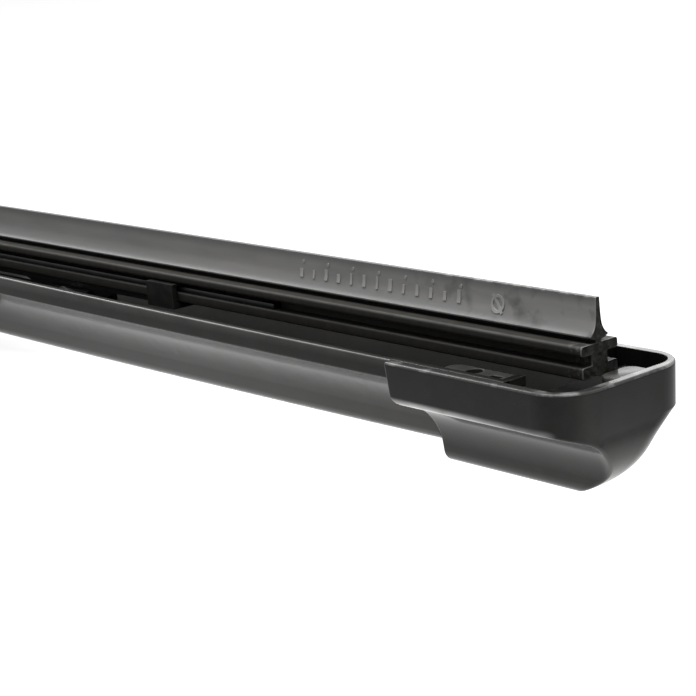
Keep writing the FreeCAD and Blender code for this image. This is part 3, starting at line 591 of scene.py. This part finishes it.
def lip_wear_and_highlight_group():
    """Mask: pale scuffs on the wiping edge near its end, and a thin painted highlight line at the cut. Torn:
    the shoulder's tip, back to a ragged line."""
    tree, given, out = new_group(
        "lip_wear_and_cut_highlight",
        {"Edge": LIP_TOP - 0.22, "End": RUBBER_HALF_LENGTH - 0.16, "Scuffs": 900.0,
         "Scuffed From": RUBBER_HALF_LENGTH - 28.0, "Lowest": SHOULDER_Z + 0.5},
        ["Mask", "Torn"])
    along, _, z = blade_place(tree)
    scuffs = object_noise(tree, given["Scuffs"], detail=5.0)
    cut_highlight = product(tree, add_math(tree, "GREATER_THAN", along, given["End"]),
                     add_math(tree, "GREATER_THAN", z, given["Lowest"]))
    on_edge = product(tree, add_math(tree, "GREATER_THAN", z, given["Edge"]),
                      add_math(tree, "GREATER_THAN", along, given["Scuffed From"]),
                      ramp(tree, scuffs, start=0.45, end=0.62))
    torn_from = add_math(tree, "ADD", add_math(tree, "MULTIPLY", scuffs, TEAR_RAGGED),
                         add_math(tree, "SUBTRACT", given["End"], TEAR_BACK))
    torn = ramp(tree, along, torn_from, given["End"], soft=True)
    low = ramp(tree, z, TEAR_HIGH_Z, TEAR_LOW_Z, soft=True)
    feed(tree, out["Mask"], add_math(tree, "MAXIMUM", cut_highlight, on_edge))
    feed(tree, out["Torn"], product(tree, torn, low))
    return tree


# Materials

def new_material(name):
    """A material, its node tree and its shader."""
    mat = bpy.data.materials.new(name)
    mat.use_nodes = True
    return mat, mat.node_tree, mat.node_tree.nodes["Principled BSDF"]


def use_group(tree, group, **values):
    return add_node(tree, "ShaderNodeGroup", {"node_tree": group}, **values)


def relief(tree, height, strength, depth, **normal):
    """The normal over a height map, whose full depth is in millimetres."""
    node = add_node(tree, "ShaderNodeBump", Height=height, Strength=strength, Distance=depth * MM, **normal)
    return node.outputs["Normal"]


def lay_over(mat, mask, colour):
    """Lays a plain colour over a finish's own where a mask says."""
    tree = mat.node_tree
    top = tree.nodes["Principled BSDF"].inputs["Base Color"]
    tree.links.new(mix_colour(tree, mask, top.links[0].from_socket, (*colour, 1.0)), top)


def worn_and_lit_parts(mat, group, colour, **places):
    """Lays a colour over a finish where the given mask group says, for wear and for painted highlights and
    shade.
    """
    lay_over(mat, use_group(mat.node_tree, group, **places).outputs["Mask"], colour)


def moulded_plastic(name, groups, colour, roughness, variation, grain, bump, dust, gloss=0.5, tint=WHITE):
    """Moulded plastic: colour with a trace of dust, uneven gloss, a fine grain and soft edges."""
    mat, tree, shader = new_material(name)
    texture = use_group(tree, groups["grain"], Grain=grain, Roughness=roughness, Variation=variation)
    film = use_group(tree, groups["dust"], Base=(*colour, 1.0), Amount=dust)
    edge = add_node(tree, "ShaderNodeBevel", {"samples": 6}, Radius=SOFT_EDGE_R * MM)
    grained = relief(tree, texture.outputs["Height"], strength=bump, depth=0.04,
                     Normal=edge.outputs["Normal"])
    fill(tree, shader, Base_Color=film.outputs["Color"], Roughness=texture.outputs["Roughness"],
         Normal=grained, Specular_IOR_Level=gloss, Specular_Tint=tint)
    return mat


def rubber_material(name, groups, colour, roughness, streaks, gloss):
    """Extruded rubber: fine lengthwise drawing lines under a soft grain."""
    mat, tree, shader = new_material(name)
    film = use_group(tree, groups["dust"], Base=(*colour, 1.0), Amount=0.06, Patches=600.0)
    texture = use_group(tree, groups["grain"], Grain=3500.0, Roughness=roughness, Variation=0.12)
    lines = object_noise(tree, scale=1.0, detail=3.0, stretch=(12.0, 2600.0, 2600.0))
    drawn = relief(tree, lines, strength=streaks, depth=0.03)
    grained = relief(tree, texture.outputs["Height"], strength=0.12, depth=0.03, Normal=drawn)
    fill(tree, shader, Base_Color=film.outputs["Color"], Roughness=texture.outputs["Roughness"],
         Normal=grained, Specular_IOR_Level=gloss)
    return mat


def black_rubber_material(groups):
    """The rubber's base and flanges: painted highlights on the edges that catch the light, fading towards the
    blade's middle, with grey smears and a painted highlight line at the cut."""
    mat = rubber_material("black_rubber", groups, RUBBER_BLACK, roughness=0.5, streaks=0.2, gloss=0.05)
    for half, top, inset, width, colour in ((FLANGE_HALF, FLANGE_TOP, 0.1, 0.42, FLANGE_EDGE_HIGHLIGHT),
                                            (BASE_HALF, BASE_TOP, 0.08, 0.34, BASE_EDGE_HIGHLIGHT)):
        # Pale lines on the flange and base edges are painted highlights
        worn_and_lit_parts(mat, groups["line"], colour, Y=inset - half, Z=top - inset, Width=width,
                   Fades_From=225.0, Faint_At=150.0)
    worn_and_lit_parts(mat, groups["smears"], RUBBER_SMEAR)
    # Painted highlight line along the cut end
    worn_and_lit_parts(mat, groups["wear"], RUBBER_CUT_HIGHLIGHT, Lowest=-1.0, End=RUBBER_HALF_LENGTH - 0.28)
    return mat


def lip_material(groups):
    """The lip: a cloudy coat, painted paler in the flank's middle, painted shade towards the blade's middle,
    with scuffs, a painted highlight at the cut, a torn shoulder and dark smears.
    """
    mat = rubber_material("graphite_lip", groups, LIP_GREY, roughness=0.5, streaks=0.10, gloss=0.5)
    wear = use_group(mat.node_tree, groups["wear"])
    coat = use_group(mat.node_tree, groups["coat"])
    # Coat laid paler across the flank's middle, painted light; painted shade towards the blade's middle
    lay_over(mat, coat.outputs["Mask"], LIP_COAT_AND_LIGHT)
    lay_over(mat, coat.outputs["Middle Shade"], LIP_MIDDLE_SHADE)
    # Scuffs on the wiping edge, and a painted highlight line at the cut
    lay_over(mat, wear.outputs["Mask"], LIP_SCUFF_AND_CUT_HIGHLIGHT)
    lay_over(mat, wear.outputs["Torn"], LIP_TEAR)
    worn_and_lit_parts(mat, groups["smears"], LIP_SMEAR, From=RUBBER_HALF_LENGTH - 60.0,
               Full_From=RUBBER_HALF_LENGTH - 6.0, Patches=300.0)
    return mat


def cut_rubber_material(groups):
    """The rubber's torn end: rough and dusty."""
    mat, tree, shader = new_material("cut_rubber")
    film = use_group(tree, groups["dust"], Base=(*CUT_BLACK, 1.0), Amount=0.25, Patches=900.0)
    torn = relief(tree, object_noise(tree, scale=1400.0, detail=5.0), strength=0.8, depth=0.1)
    fill(tree, shader, Base_Color=film.outputs["Color"], Roughness=0.6, Specular_IOR_Level=0.2,
         Normal=torn)
    return mat


def steel_material(name, groups, colour, roughness, metallic=1.0, gloss=0.5):
    """Sheet steel or a rivet, with a fine grain, bare or under black paint."""
    mat, tree, shader = new_material(name)
    texture = use_group(tree, groups["grain"], Grain=1800.0, Roughness=roughness, Variation=0.15)
    film = use_group(tree, groups["dust"], Base=(*colour, 1.0), Amount=0.08)
    grained = relief(tree, texture.outputs["Height"], strength=0.2, depth=0.03)
    fill(tree, shader, Base_Color=film.outputs["Color"], Roughness=texture.outputs["Roughness"],
         Normal=grained, Metallic=metallic, Specular_IOR_Level=gloss)
    return mat


def cover_material(groups):
    """The side covers and the centre cover: painted highlights along the crease, the rim and the edges."""
    mat = moulded_plastic("satin_cover_plastic", groups, COVER_BLACK, roughness=0.2, variation=0.08,
                          grain=2600.0, bump=0.12, dust=0.03, gloss=0.30, tint=WARM_GLOSS)
    # Pale crease line, rim band and edge lines are painted highlights
    worn_and_lit_parts(mat, groups["line"], SIDE_CREASE_HIGHLIGHT, Y=-SIDE_HALF, Z=SIDE_CREASE_Z, Width=0.3)
    worn_and_lit_parts(mat, groups["line"], SIDE_RIM_HIGHLIGHT, Y=-SIDE_HALF, Z=CAP_RIM_Z, Width=1.5)
    worn_and_lit_parts(mat, groups["edge"], SIDE_EDGE_HIGHLIGHT)
    return mat


def cap_material(groups):
    """The end caps: painted highlights on the crease, low on the nose, on the rim and on the edges."""
    mat = moulded_plastic("gloss_cap_plastic", groups, CAP_BLACK, roughness=0.18, variation=0.06,
                          grain=2200.0, bump=0.12, dust=0.03, gloss=0.32, tint=WARM_GLOSS)
    # Painted highlights: a near-white crease line, a pale low nose, rim spots and edge lines
    worn_and_lit_parts(mat, groups["line"], CAP_CREASE_HIGHLIGHT, Y=0.1 - CAP_HALF, Z=CAP_CREASE_Z, Width=0.95)
    worn_and_lit_parts(mat, groups["nose"], CAP_NOSE_HIGHLIGHT)
    worn_and_lit_parts(mat, groups["rim"], CAP_RIM_HIGHLIGHT)
    worn_and_lit_parts(mat, groups["edge"], CAP_EDGE_HIGHLIGHT)
    return mat


def tongue_material(groups):
    """The retaining tongue and the head of the peg in it, in a paler grey than the shell, with painted edge
    highlights.
    """
    mat = moulded_plastic("paler_tongue_plastic", groups, TONGUE_BLACK, roughness=0.4, variation=0.1,
                          grain=1800.0, bump=0.3, dust=0.06, gloss=0.3)
    # Painted highlights on the tongue's edges
    worn_and_lit_parts(mat, groups["edge"], TONGUE_EDGE_HIGHLIGHT)
    return mat


def make_materials():
    """Every finish by its key."""
    groups = {"grain": moulded_grain_group(), "dust": dust_group(), "line": highlight_line_group(),
              "rim": rim_highlight_group(), "wear": lip_wear_and_highlight_group(), "coat": lip_coat_and_light_group(),
              "edge": edge_highlight_group(), "smears": smears_group(), "nose": nose_highlight_group()}
    return {
        "lip": lip_material(groups),
        "mark": rubber_material("rubbed_marks", groups, MARK_GREY, roughness=0.45, streaks=0.10,
                                gloss=0.5),
        "rubber": black_rubber_material(groups),
        "cut": cut_rubber_material(groups),
        "cover": cover_material(groups),
        "cap": cap_material(groups),
        # Darker, duller copy of the shell plastic on the inner faces: painted shade
        "inside": moulded_plastic("shell_inside_painted_shade", groups, INSIDE_SHADE_BLACK, roughness=0.6,
                                  variation=0.1, grain=1500.0, bump=0.3, dust=0.015, gloss=0.04),
        "tongue": tongue_material(groups),
        # Pale, dusty web: painted highlight inside the cap's end
        "web": moulded_plastic("web_plastic_painted_highlight", groups, WEB_HIGHLIGHT_GREY, roughness=0.3, variation=0.2,
                               grain=1800.0, bump=0.3, dust=0.5, gloss=0.25),
        "bush": moulded_plastic("natural_bush_plastic", groups, BUSH_CREAM, roughness=0.45,
                                variation=0.1, grain=1500.0, bump=0.2, dust=0.05),
        "adapter": moulded_plastic("adapter_plastic", groups, ADAPTER_BLACK, roughness=0.45,
                                   variation=0.1, grain=1900.0, bump=0.4, dust=0.06),
        "spring": steel_material("spring_steel", groups, SPRING_GREY, roughness=0.4),
        "black_steel": steel_material("black_painted_steel", groups, PAINT_BLACK, roughness=0.5,
                                      metallic=0.0, gloss=0.15),
        "rivet": steel_material("rivet_steel", groups, RIVET_GREY, roughness=0.35),
    }


# Rubber element

def rounded(points, radii, steps=4):
    """The open line through points, with each corner that has a radius turned into an arc."""
    line = []
    for i, (p, r) in enumerate(zip(points, radii)):
        p = Vector(p)
        if r == 0 or i in (0, len(points) - 1):
            line.append(p)
            continue
        to_before = (Vector(points[i - 1]) - p).normalized()
        to_after = (Vector(points[i + 1]) - p).normalized()
        half = to_before.angle(to_after) / 2
        back = r / math.tan(half)
        centre = p + (to_before + to_after).normalized() * (r / math.sin(half))
        a, b = p + to_before * back, p + to_after * back
        for k in range(steps + 1):
            line.append(centre + (a.lerp(b, k / steps) - centre).normalized() * r)
    return line


def rubber_profile():
    """Closed outline of the rubber as (y, z), counted round from the middle of its underside."""
    corners = [
        (0, 0, 0), (BASE_HALF, 0, BASE_EDGE_R), (BASE_HALF, BASE_TOP, BASE_EDGE_R),
        (CORE_HALF, BASE_TOP, SLOT_CORNER_R), (CORE_HALF, SLOT_TOP, SLOT_CORNER_R),
        (FLANGE_HALF, SLOT_TOP, FLANGE_EDGE_R), (FLANGE_HALF, FLANGE_TOP, FLANGE_EDGE_R),
        (NECK_HALF, FLANGE_TOP, NECK_CORNER_R), (NECK_HALF, NECK_TOP, NECK_CORNER_R),
        (SHOULDER_HALF, SHOULDER_Z, SHOULDER_EDGE_R), (SHOULDER_HALF, SHOULDER_Z + SHOULDER_BAND, 0),
    ]
    side = rounded([c[:2] for c in corners], [c[2] for c in corners]) + lip_flank()[1:]
    side.append(Vector((0, LIP_TOP)))
    mirrored = [Vector((-p.x, p.y)) for p in reversed(side[1:-1])]
    return side + mirrored


def lip_flank():
    """The lip's hollow flank, from its shoulder up to the wiping edge, on one smooth curve."""
    rise = LIP_TOP - SHOULDER_Z
    knots = [Vector((SHOULDER_HALF, SHOULDER_Z + SHOULDER_BAND))]
    knots += [Vector((half, SHOULDER_Z + share * rise)) for half, share in FLANK_KNOTS]
    knots.append(Vector((LIP_HALF, LIP_TOP - LIP_EDGE)))
    tangents = [Vector(t) for t in FLANK_TANGENTS]
    flank = []
    for i in range(len(knots) - 1):
        flank += geometry.interpolate_bezier(knots[i], knots[i] + tangents[i],
                                             knots[i + 1] - tangents[i + 1], knots[i + 1], FLANK_POINTS)[:-1]
    return flank + [knots[-1], Vector((LIP_HALF - LIP_EDGE, LIP_TOP))]


def shift(column, row, layer):
    """A small uneven shift of a point in the torn face, the same in every run."""
    place = Vector((column * SHIFT_SCALE[0], row * SHIFT_SCALE[1], layer))
    return TORN_SHIFT * noise.fractal(place, *SHIFT_NOISE)


def torn_depth(point):
    """How far a point of the torn face lies behind the end, as a number of zero or less."""
    place = Vector((point.x * TORN_SCALE, point.y * TORN_SCALE, TORN_LAYER))
    return min(TORN_DEPTH * noise.fractal(place, *TORN_NOISE) - TORN_LEVEL, 0.0)


def end_face(profile, x, outwards):
    """Torn end of the rubber: the outline filled with small uneven triangles."""
    inside = []
    for row in range(int(LIP_TOP / TORN_STEP)):
        for column in range(int(2 * BASE_HALF / TORN_STEP)):
            across = -BASE_HALF + (column + 0.5) * TORN_STEP + shift(column, row, SHIFT_LAYERS[0])
            up = (row + 0.5) * TORN_STEP + shift(column, row, SHIFT_LAYERS[1])
            inside.append(Vector((across, up)))
    count = len(profile)
    edges = [(i, (i + 1) % count) for i in range(count)]
    only_inside = 1
    filled = geometry.delaunay_2d_cdt(profile + inside, edges, [list(range(count))], only_inside,
                                      MEET_WITHIN)
    points, _, triangles, origins = filled[:4]
    verts = []
    for point, origin in zip(points, origins):
        on_outline = any(i < count for i in origin)
        depth = 0.0 if on_outline else torn_depth(point)
        verts.append(Vector((x + outwards * depth, point.x, point.y)))
    faces = [tuple(t) if outwards > 0 else tuple(reversed(t)) for t in triangles]
    return verts, faces


def swept(outline, x_from, x_to, station):
    """An outline of (y, z) points carried along the blade: its points, and the faces between them."""
    count = len(outline)
    stations = max(2, int(abs(x_to - x_from) / station))
    xs = [x_from + (x_to - x_from) * i / stations for i in range(stations + 1)]
    verts = [(x, y, z) for x in xs for y, z in outline]
    faces = []
    for i in range(stations):
        for j in range(count):
            a, b = i * count + j, i * count + (j + 1) % count
            faces.append((a, b, b + count, a + count))
    return verts, faces


def rubber_length(name, x_from, x_to, materials, marks=None):
    """One length of the rubber, closed by a torn face at a blade end and open at a seam."""
    profile = rubber_profile()
    count = len(profile)
    verts, faces = swept(profile, x_from, x_to, RUBBER_STATION)
    finishes = []
    for face in faces:
        lowest = min(profile[face[0] % count].y, profile[face[1] % count].y)
        finishes.append("lip" if lowest >= SHOULDER_Z - NEAR else "rubber")
    for x, outwards in ((x_to, 1), (x_from, -1)):
        if abs(abs(x) - RUBBER_HALF_LENGTH) < NEAR:
            end_verts, end_faces = end_face(profile, x, outwards)
            faces += [tuple(len(verts) + i for i in f) for f in end_faces]
            verts += end_verts
            finishes += ["cut"] * len(end_faces)
    if marks:
        faces += [tuple(len(verts) + i for i in f.vertices) for f in marks.polygons]
        verts += [v.co for v in marks.vertices]
        finishes += ["mark"] * len(marks.polygons)
    keys = ("lip", "rubber", "cut", "mark")
    piece = new_piece(name, verts, faces, [materials[key] for key in keys],
                      [keys.index(finish) for finish in finishes])
    smooth_by_angle(piece.data)
    return piece


def make_rubber(materials):
    """Four lengths, an inner and an outer one on each side."""
    marks = lip_marks(materials["mark"])
    for side, word in SIDES:
        inner = rubber_length("rubber_inner_" + word, 0.0, side * RUBBER_SEAM_X, materials)
        outer = rubber_length("rubber_outer_" + word, side * RUBBER_SEAM_X, side * RUBBER_HALF_LENGTH,
                              materials, marks if side > 0 else None)
        finish_bend(inner, "wiper_rubber")
        finish_bend(outer, "wiper_rubber")


def finish_bend(piece, node):
    """Bakes a length's place into its mesh, and hides the CAD node that it stands in for."""
    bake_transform(piece)
    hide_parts(node)


# Raised marks on the lip, laid out in millimetres

def marks_tree(material):
    """Marks laid out flat in X and Z, and then pressed onto the hollow flank."""
    tree = bpy.data.node_groups.new("lip_marks", "GeometryNodeTree")
    inputs = {"Ticks": TICK_COUNT, "Tick Step": TICK_STEP, "Tick Height": TICK_HEIGHT,
              "Tick Width": TICK_WIDTH, "Dots": DOT_COUNT, "Dot Step": DOT_STEP, "Dot Radius": DOT_R,
              "Ring Radius": RING_R, "Ring Wire": RING_WIRE, "Seed": MARKS_SEED}
    for label, value in inputs.items():
        kind = "NodeSocketInt" if isinstance(value, int) else "NodeSocketFloat"
        tree.interface.new_socket(name=label, in_out="INPUT", socket_type=kind).default_value = value
    tree.interface.new_socket(name="Geometry", in_out="OUTPUT", socket_type="NodeSocketGeometry")
    given = tree.nodes.new("NodeGroupInput").outputs
    joined = joined_shapes(tree, tick_row(tree, given), dot_row(tree, given), ring(tree, given))
    real = add_node(tree, "GeometryNodeRealizeInstances", Geometry=joined)
    pressed = press_on_flank(tree, real.outputs["Geometry"])
    coloured = add_node(tree, "GeometryNodeSetMaterial", Geometry=pressed, Material=material)
    add_node(tree, "NodeGroupOutput", Geometry=coloured.outputs["Geometry"])
    return tree


def joined_shapes(tree, *shapes):
    """One geometry of several."""
    node = tree.nodes.new("GeometryNodeJoinGeometry")
    for shape in shapes:
        tree.links.new(shape, node.inputs["Geometry"])
    return node.outputs["Geometry"]


def moved(tree, shape, **move):
    """A shape shifted or turned."""
    return add_node(tree, "GeometryNodeTransform", Geometry=shape, **move).outputs["Geometry"]


def row_of(tree, shape, count, step, start, **settings):
    """Copies of a shape along X."""
    points = add_node(tree, "GeometryNodeMeshLine", Count=count, Offset=combined(tree, X=step),
                      Start_Location=start)
    row = add_node(tree, "GeometryNodeInstanceOnPoints", Points=points.outputs["Mesh"], Instance=shape,
                   **settings)
    return row.outputs["Instances"]


def tick_row(tree, given):
    """Upright strokes of uneven height, one tick step apart, with their feet on one line."""
    size = combined(tree, X=given["Tick Width"], Y=1.0, Z=given["Tick Height"])
    stroke = add_node(tree, "GeometryNodeMeshCube", Size=size, Vertices_Z=6)
    lift = combined(tree, Z=add_math(tree, "MULTIPLY", given["Tick Height"], 0.5))
    footed = moved(tree, stroke.outputs["Mesh"], Translation=lift)
    uneven = add_node(tree, "FunctionNodeRandomValue", {"data_type": "FLOAT_VECTOR"},
                      Min=TICK_SMALLEST, Max=TICK_LARGEST, Seed=given["Seed"])
    return row_of(tree, footed, given["Ticks"], given["Tick Step"], (MARKS_FROM, 0.0, TICK_LOW),
                  Scale=uneven.outputs["Value"])


def dot_row(tree, given):
    """Round dots, one dot step apart."""
    dot = add_node(tree, "GeometryNodeMeshCylinder", Vertices=8, Radius=given["Dot Radius"], Depth=1.0)
    facing = moved(tree, dot.outputs["Mesh"], Rotation=(math.pi / 2, 0.0, 0.0))
    return row_of(tree, facing, given["Dots"], given["Dot Step"], (DOTS_FROM, 0.0, DOT_Z))


def ring(tree, given):
    """A plain ring with a bar across it."""
    circle = add_node(tree, "GeometryNodeCurvePrimitiveCircle", Resolution=28,
                      Radius=given["Ring Radius"])
    wire_size = add_math(tree, "MULTIPLY", given["Ring Wire"], 2.0)
    wire = add_node(tree, "GeometryNodeCurvePrimitiveQuadrilateral", Width=wire_size, Height=1.0)
    hoop = add_node(tree, "GeometryNodeCurveToMesh", Curve=circle.outputs["Curve"],
                    Profile_Curve=wire.outputs["Curve"])
    upright = moved(tree, hoop.outputs["Mesh"], Rotation=(math.pi / 2, 0.0, 0.0))
    length = add_math(tree, "MULTIPLY", given["Ring Radius"], BAR_LENGTH)
    size = combined(tree, X=wire_size, Y=BAR_DEPTH, Z=length)
    bar = add_node(tree, "GeometryNodeMeshCube", Size=size, Vertices_Z=6)
    leaning = moved(tree, bar.outputs["Mesh"], Rotation=(0.0, math.radians(BAR_LEAN), 0.0))
    return moved(tree, joined_shapes(tree, upright, leaning), Translation=(RING_AT[0], 0.0, RING_AT[1]))


def press_on_flank(tree, marks):
    """Front faces stand out of the flank by the rise, back faces sit in it; the flank is a power curve."""
    position = add_node(tree, "GeometryNodeInputPosition").outputs["Position"]
    split = add_node(tree, "ShaderNodeSeparateXYZ", Vector=position)
    down = add_math(tree, "SUBTRACT", LIP_TOP, split.outputs["Z"])
    share = add_math(tree, "DIVIDE", down, LIP_TOP - SHOULDER_Z)
    hollow = add_math(tree, "MULTIPLY", add_math(tree, "POWER", share, FLANK_POWER), FLANK_SWELL)
    flank = add_math(tree, "ADD", hollow, LIP_HALF)
    deep = add_math(tree, "MULTIPLY", add_math(tree, "SUBTRACT", 0.5, split.outputs["Y"]),
                    MARK_RISE + MARK_ROOT)
    stand = add_math(tree, "SUBTRACT", deep, MARK_ROOT)
    y = add_math(tree, "MULTIPLY", add_math(tree, "ADD", flank, stand), -1.0)
    place = combined(tree, X=split.outputs["X"], Y=y, Z=split.outputs["Z"])
    pressed = add_node(tree, "GeometryNodeSetPosition", Geometry=marks, Position=place)
    return pressed.outputs["Geometry"]


def lip_marks(material):
    """The mesh of the marks, in millimetres over the rubber's underside."""
    tree = marks_tree(material)
    host = bpy.data.objects.new("lip_marks", bpy.data.meshes.new("lip_marks"))
    bpy.context.scene.collection.objects.link(host)
    layout = host.modifiers.new("lip_marks", "NODES")
    layout.node_group = tree
    for item in tree.interface.items_tree:
        if item.in_out == "INPUT":
            layout[item.identifier] = item.default_value
    settle(host)
    mesh = host.data
    bpy.data.objects.remove(host)
    return mesh


# Pieces made of points and faces

def new_piece(name, verts, faces, materials, slots=None):
    """A welded piece, from points in millimetres and each face's slot among the materials."""
    mesh = bpy.data.meshes.new(name)
    mesh.from_pydata([(x * MM, y * MM, (z + BASE_Z) * MM) for x, y, z in verts], [], faces)
    for material in materials:
        mesh.materials.append(material)
    if slots:
        mesh.polygons.foreach_set("material_index", slots)
    piece = bpy.data.objects.new(name, mesh)
    bpy.context.scene.collection.objects.link(piece)
    weld(piece)
    return piece


def weld(piece):
    """Joins the points that meet, and turns all faces outwards."""
    shape = bmesh.new()
    shape.from_mesh(piece.data)
    bmesh.ops.remove_doubles(shape, verts=shape.verts, dist=WELD_METRES)
    bmesh.ops.recalc_face_normals(shape, faces=shape.faces)
    shape.to_mesh(piece.data)
    shape.free()


def settle(piece):
    """Turns the modifiers' result into the piece's own mesh."""
    graph = bpy.context.evaluated_depsgraph_get()
    mesh = bpy.data.meshes.new_from_object(piece.evaluated_get(graph))
    piece.modifiers.clear()
    piece.data = mesh


def smooth_by_angle(mesh, degrees=32.0):
    mesh.polygons.foreach_set("use_smooth", [True] * len(mesh.polygons))
    mesh.set_sharp_from_angle(angle=math.radians(degrees))


def ease_edges(piece, width, segments):
    """Rounds a piece's sharp edges over a width in millimetres."""
    bevel = piece.modifiers.new("eased_edges", "BEVEL")
    bevel.width = width * MM
    bevel.segments = segments
    bevel.limit_method = "ANGLE"
    settle(piece)
    smooth_by_angle(piece.data)


def strip_length(name, y_side, x_from, x_to, material):
    """One length of a backing strip, a flat rail with eased edges."""
    top = STRIP_LOW + STRIP_THICK
    outline = [(y_side * STRIP_INNER, STRIP_LOW), (y_side * STRIP_HALF, STRIP_LOW),
               (y_side * STRIP_HALF, top), (y_side * STRIP_INNER, top)]
    verts, faces = swept(outline, x_from, x_to, STRIP_STATION)
    count = len(outline)
    last = len(verts) - count
    faces += [tuple(range(count)), tuple(range(last, last + count))]
    piece = new_piece(name, verts, faces, [material])
    ease_edges(piece, width=0.06, segments=2)
    return piece


def make_strips(material, ends):
    """Each backing strip in four lengths."""
    for y_side, word_across in ((-1, "wind"), (1, "lee")):
        node = "backing_strip_" + word_across
        for side, word in SIDES:
            inner = strip_length(f"strip_{word_across}_inner_{word}", y_side, 0.0, side * RUBBER_SEAM_X,
                                 material)
            outer = strip_length(f"strip_{word_across}_outer_{word}", y_side, side * RUBBER_SEAM_X,
                                 side * ends, material)
            finish_bend(inner, node)
            finish_bend(outer, node)


def make_webs(material):
    """A flat pale web inside the closed end of each cap, with round inner corners; its paleness is a painted
    highlight.
    """
    outline = []
    for y, start in ((WEB_Y[1] - WEB_CORNER_R, 90), (WEB_Y[0] + WEB_CORNER_R, 180)):
        for k in range(WEB_CORNER_STEPS + 1):
            turn = math.radians(start + 90 * k / WEB_CORNER_STEPS)
            outline.append((WEB_X[0] + WEB_CORNER_R + WEB_CORNER_R * math.cos(turn),
                            y + WEB_CORNER_R * math.sin(turn)))
    outline += [(WEB_X[1], WEB_Y[0]), (WEB_X[1], WEB_Y[1])]
    count = len(outline)
    faces = [tuple(range(count)), tuple(range(count, 2 * count))]
    faces += [(j, (j + 1) % count, (j + 1) % count + count, j + count) for j in range(count)]
    for side, word in SIDES:
        verts = [(side * x, y, z) for z in WEB_Z for x, y in outline]
        piece = new_piece("end_web_" + word, verts, faces, [material])
        ease_edges(piece, width=0.2, segments=3)
        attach(piece, "side_arm_" + word)


# Pieces that keep their CAD shape

def dress(nodes, materials):
    """Gives each CAD node its finish, and the shells two more: one in painted shade for their inside, and one
    for their tongue.
    """
    finishes = {"main_lever": "black_steel", "centre_cover": "cover", "cross_pin": "rivet",
                "hook_adapter": "adapter"}
    for _, word in SIDES:
        finishes.update({
            "side_lever_" + word: "black_steel", "yoke_" + word: "black_steel",
            "side_cover_" + word: "cover", "end_cap_" + word: "cap", "lever_pin_" + word: "rivet",
            "yoke_pin_" + word: "rivet", "lever_bush_" + word: "bush",
        })
    for name, finish in finishes.items():
        mesh = nodes[name].data
        mesh.materials.clear()
        mesh.materials.append(materials[finish])
        if name.startswith("side_cover_"):
            dress_shell(mesh, SIDE_SHELL, materials)
        elif name.startswith("end_cap_"):
            dress_shell(mesh, CAP_SHELL, materials)


def dress_shell(mesh, shell, materials):
    """Gives a shell's tongue its own finish, and its inner faces a darker, duller copy of the plastic as
    painted shade.
    """
    mesh.materials.append(materials["inside"])
    mesh.materials.append(materials["tongue"])
    for face in mesh.polygons:
        if on_tongue(face):
            face.material_index = TONGUE_SLOT
        elif within_shell(shell, face.center / MM) and not turned_out(face):
            face.material_index = INSIDE_SHADE_SLOT


def within_shell(shell, at):
    """Whether a point in millimetres lies on a shell's inner faces: past half its wall, and under its rim."""
    x, y, z = abs(at.x), at.y, at.z - BASE_Z
    past_x = max(x - (shell["end"] - CAP_CORNER_R), 0.0)
    past_y = max(abs(y) - (shell["half"] - CAP_CORNER_R), 0.0)
    from_cove = math.hypot(y - shell["cove"][0], z - shell["cove"][1])
    lee = y * math.cos(math.radians(LEE_ANGLE)) + z * math.sin(math.radians(LEE_ANGLE))
    half_wall = shell["wall"] / 2
    return (math.hypot(past_x, past_y) < CAP_CORNER_R - half_wall
            and from_cove > shell["cove_r"] + half_wall
            and lee < shell["lee_reach"] - half_wall
            and z < CAP_RIM_Z - RIM_MARGIN)


def turned_out(face):
    """Whether a low face is on the outside of a nose or of a keel, which lie within the plan outline."""
    at = face.center / MM
    outwards = math.copysign(1.0, at.x) * face.normal.x
    on_nose = abs(at.x) > NOSE_FROM and outwards > NOSE_OUTWARDS
    return at.z - BASE_Z < CAP_CREASE_Z and (on_nose or face.normal.z < KEEL_DOWNWARDS)


def on_tongue(face):
    """Whether a face is on the retaining tongue of a side cover, or on the head of the peg in it."""
    at = face.center / MM
    return (TONGUE_X[0] < abs(at.x) < TONGUE_X[1] and TONGUE_Y[0] < at.y < TONGUE_Y[1]
            and TONGUE_Z[0] < at.z - BASE_Z < TONGUE_Z[1])


def main():
    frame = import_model()
    cad_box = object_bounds()
    make_camera()
    materials = make_materials()
    strip_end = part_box("backing_strip_lee")[1].x / MM
    make_rubber(materials)
    make_strips(materials["spring"], strip_end)
    make_webs(materials["web"])
    dress(frame["nodes"], materials)
    make_floor(cad_box[0].z)
    make_world()
    make_lights()


main()
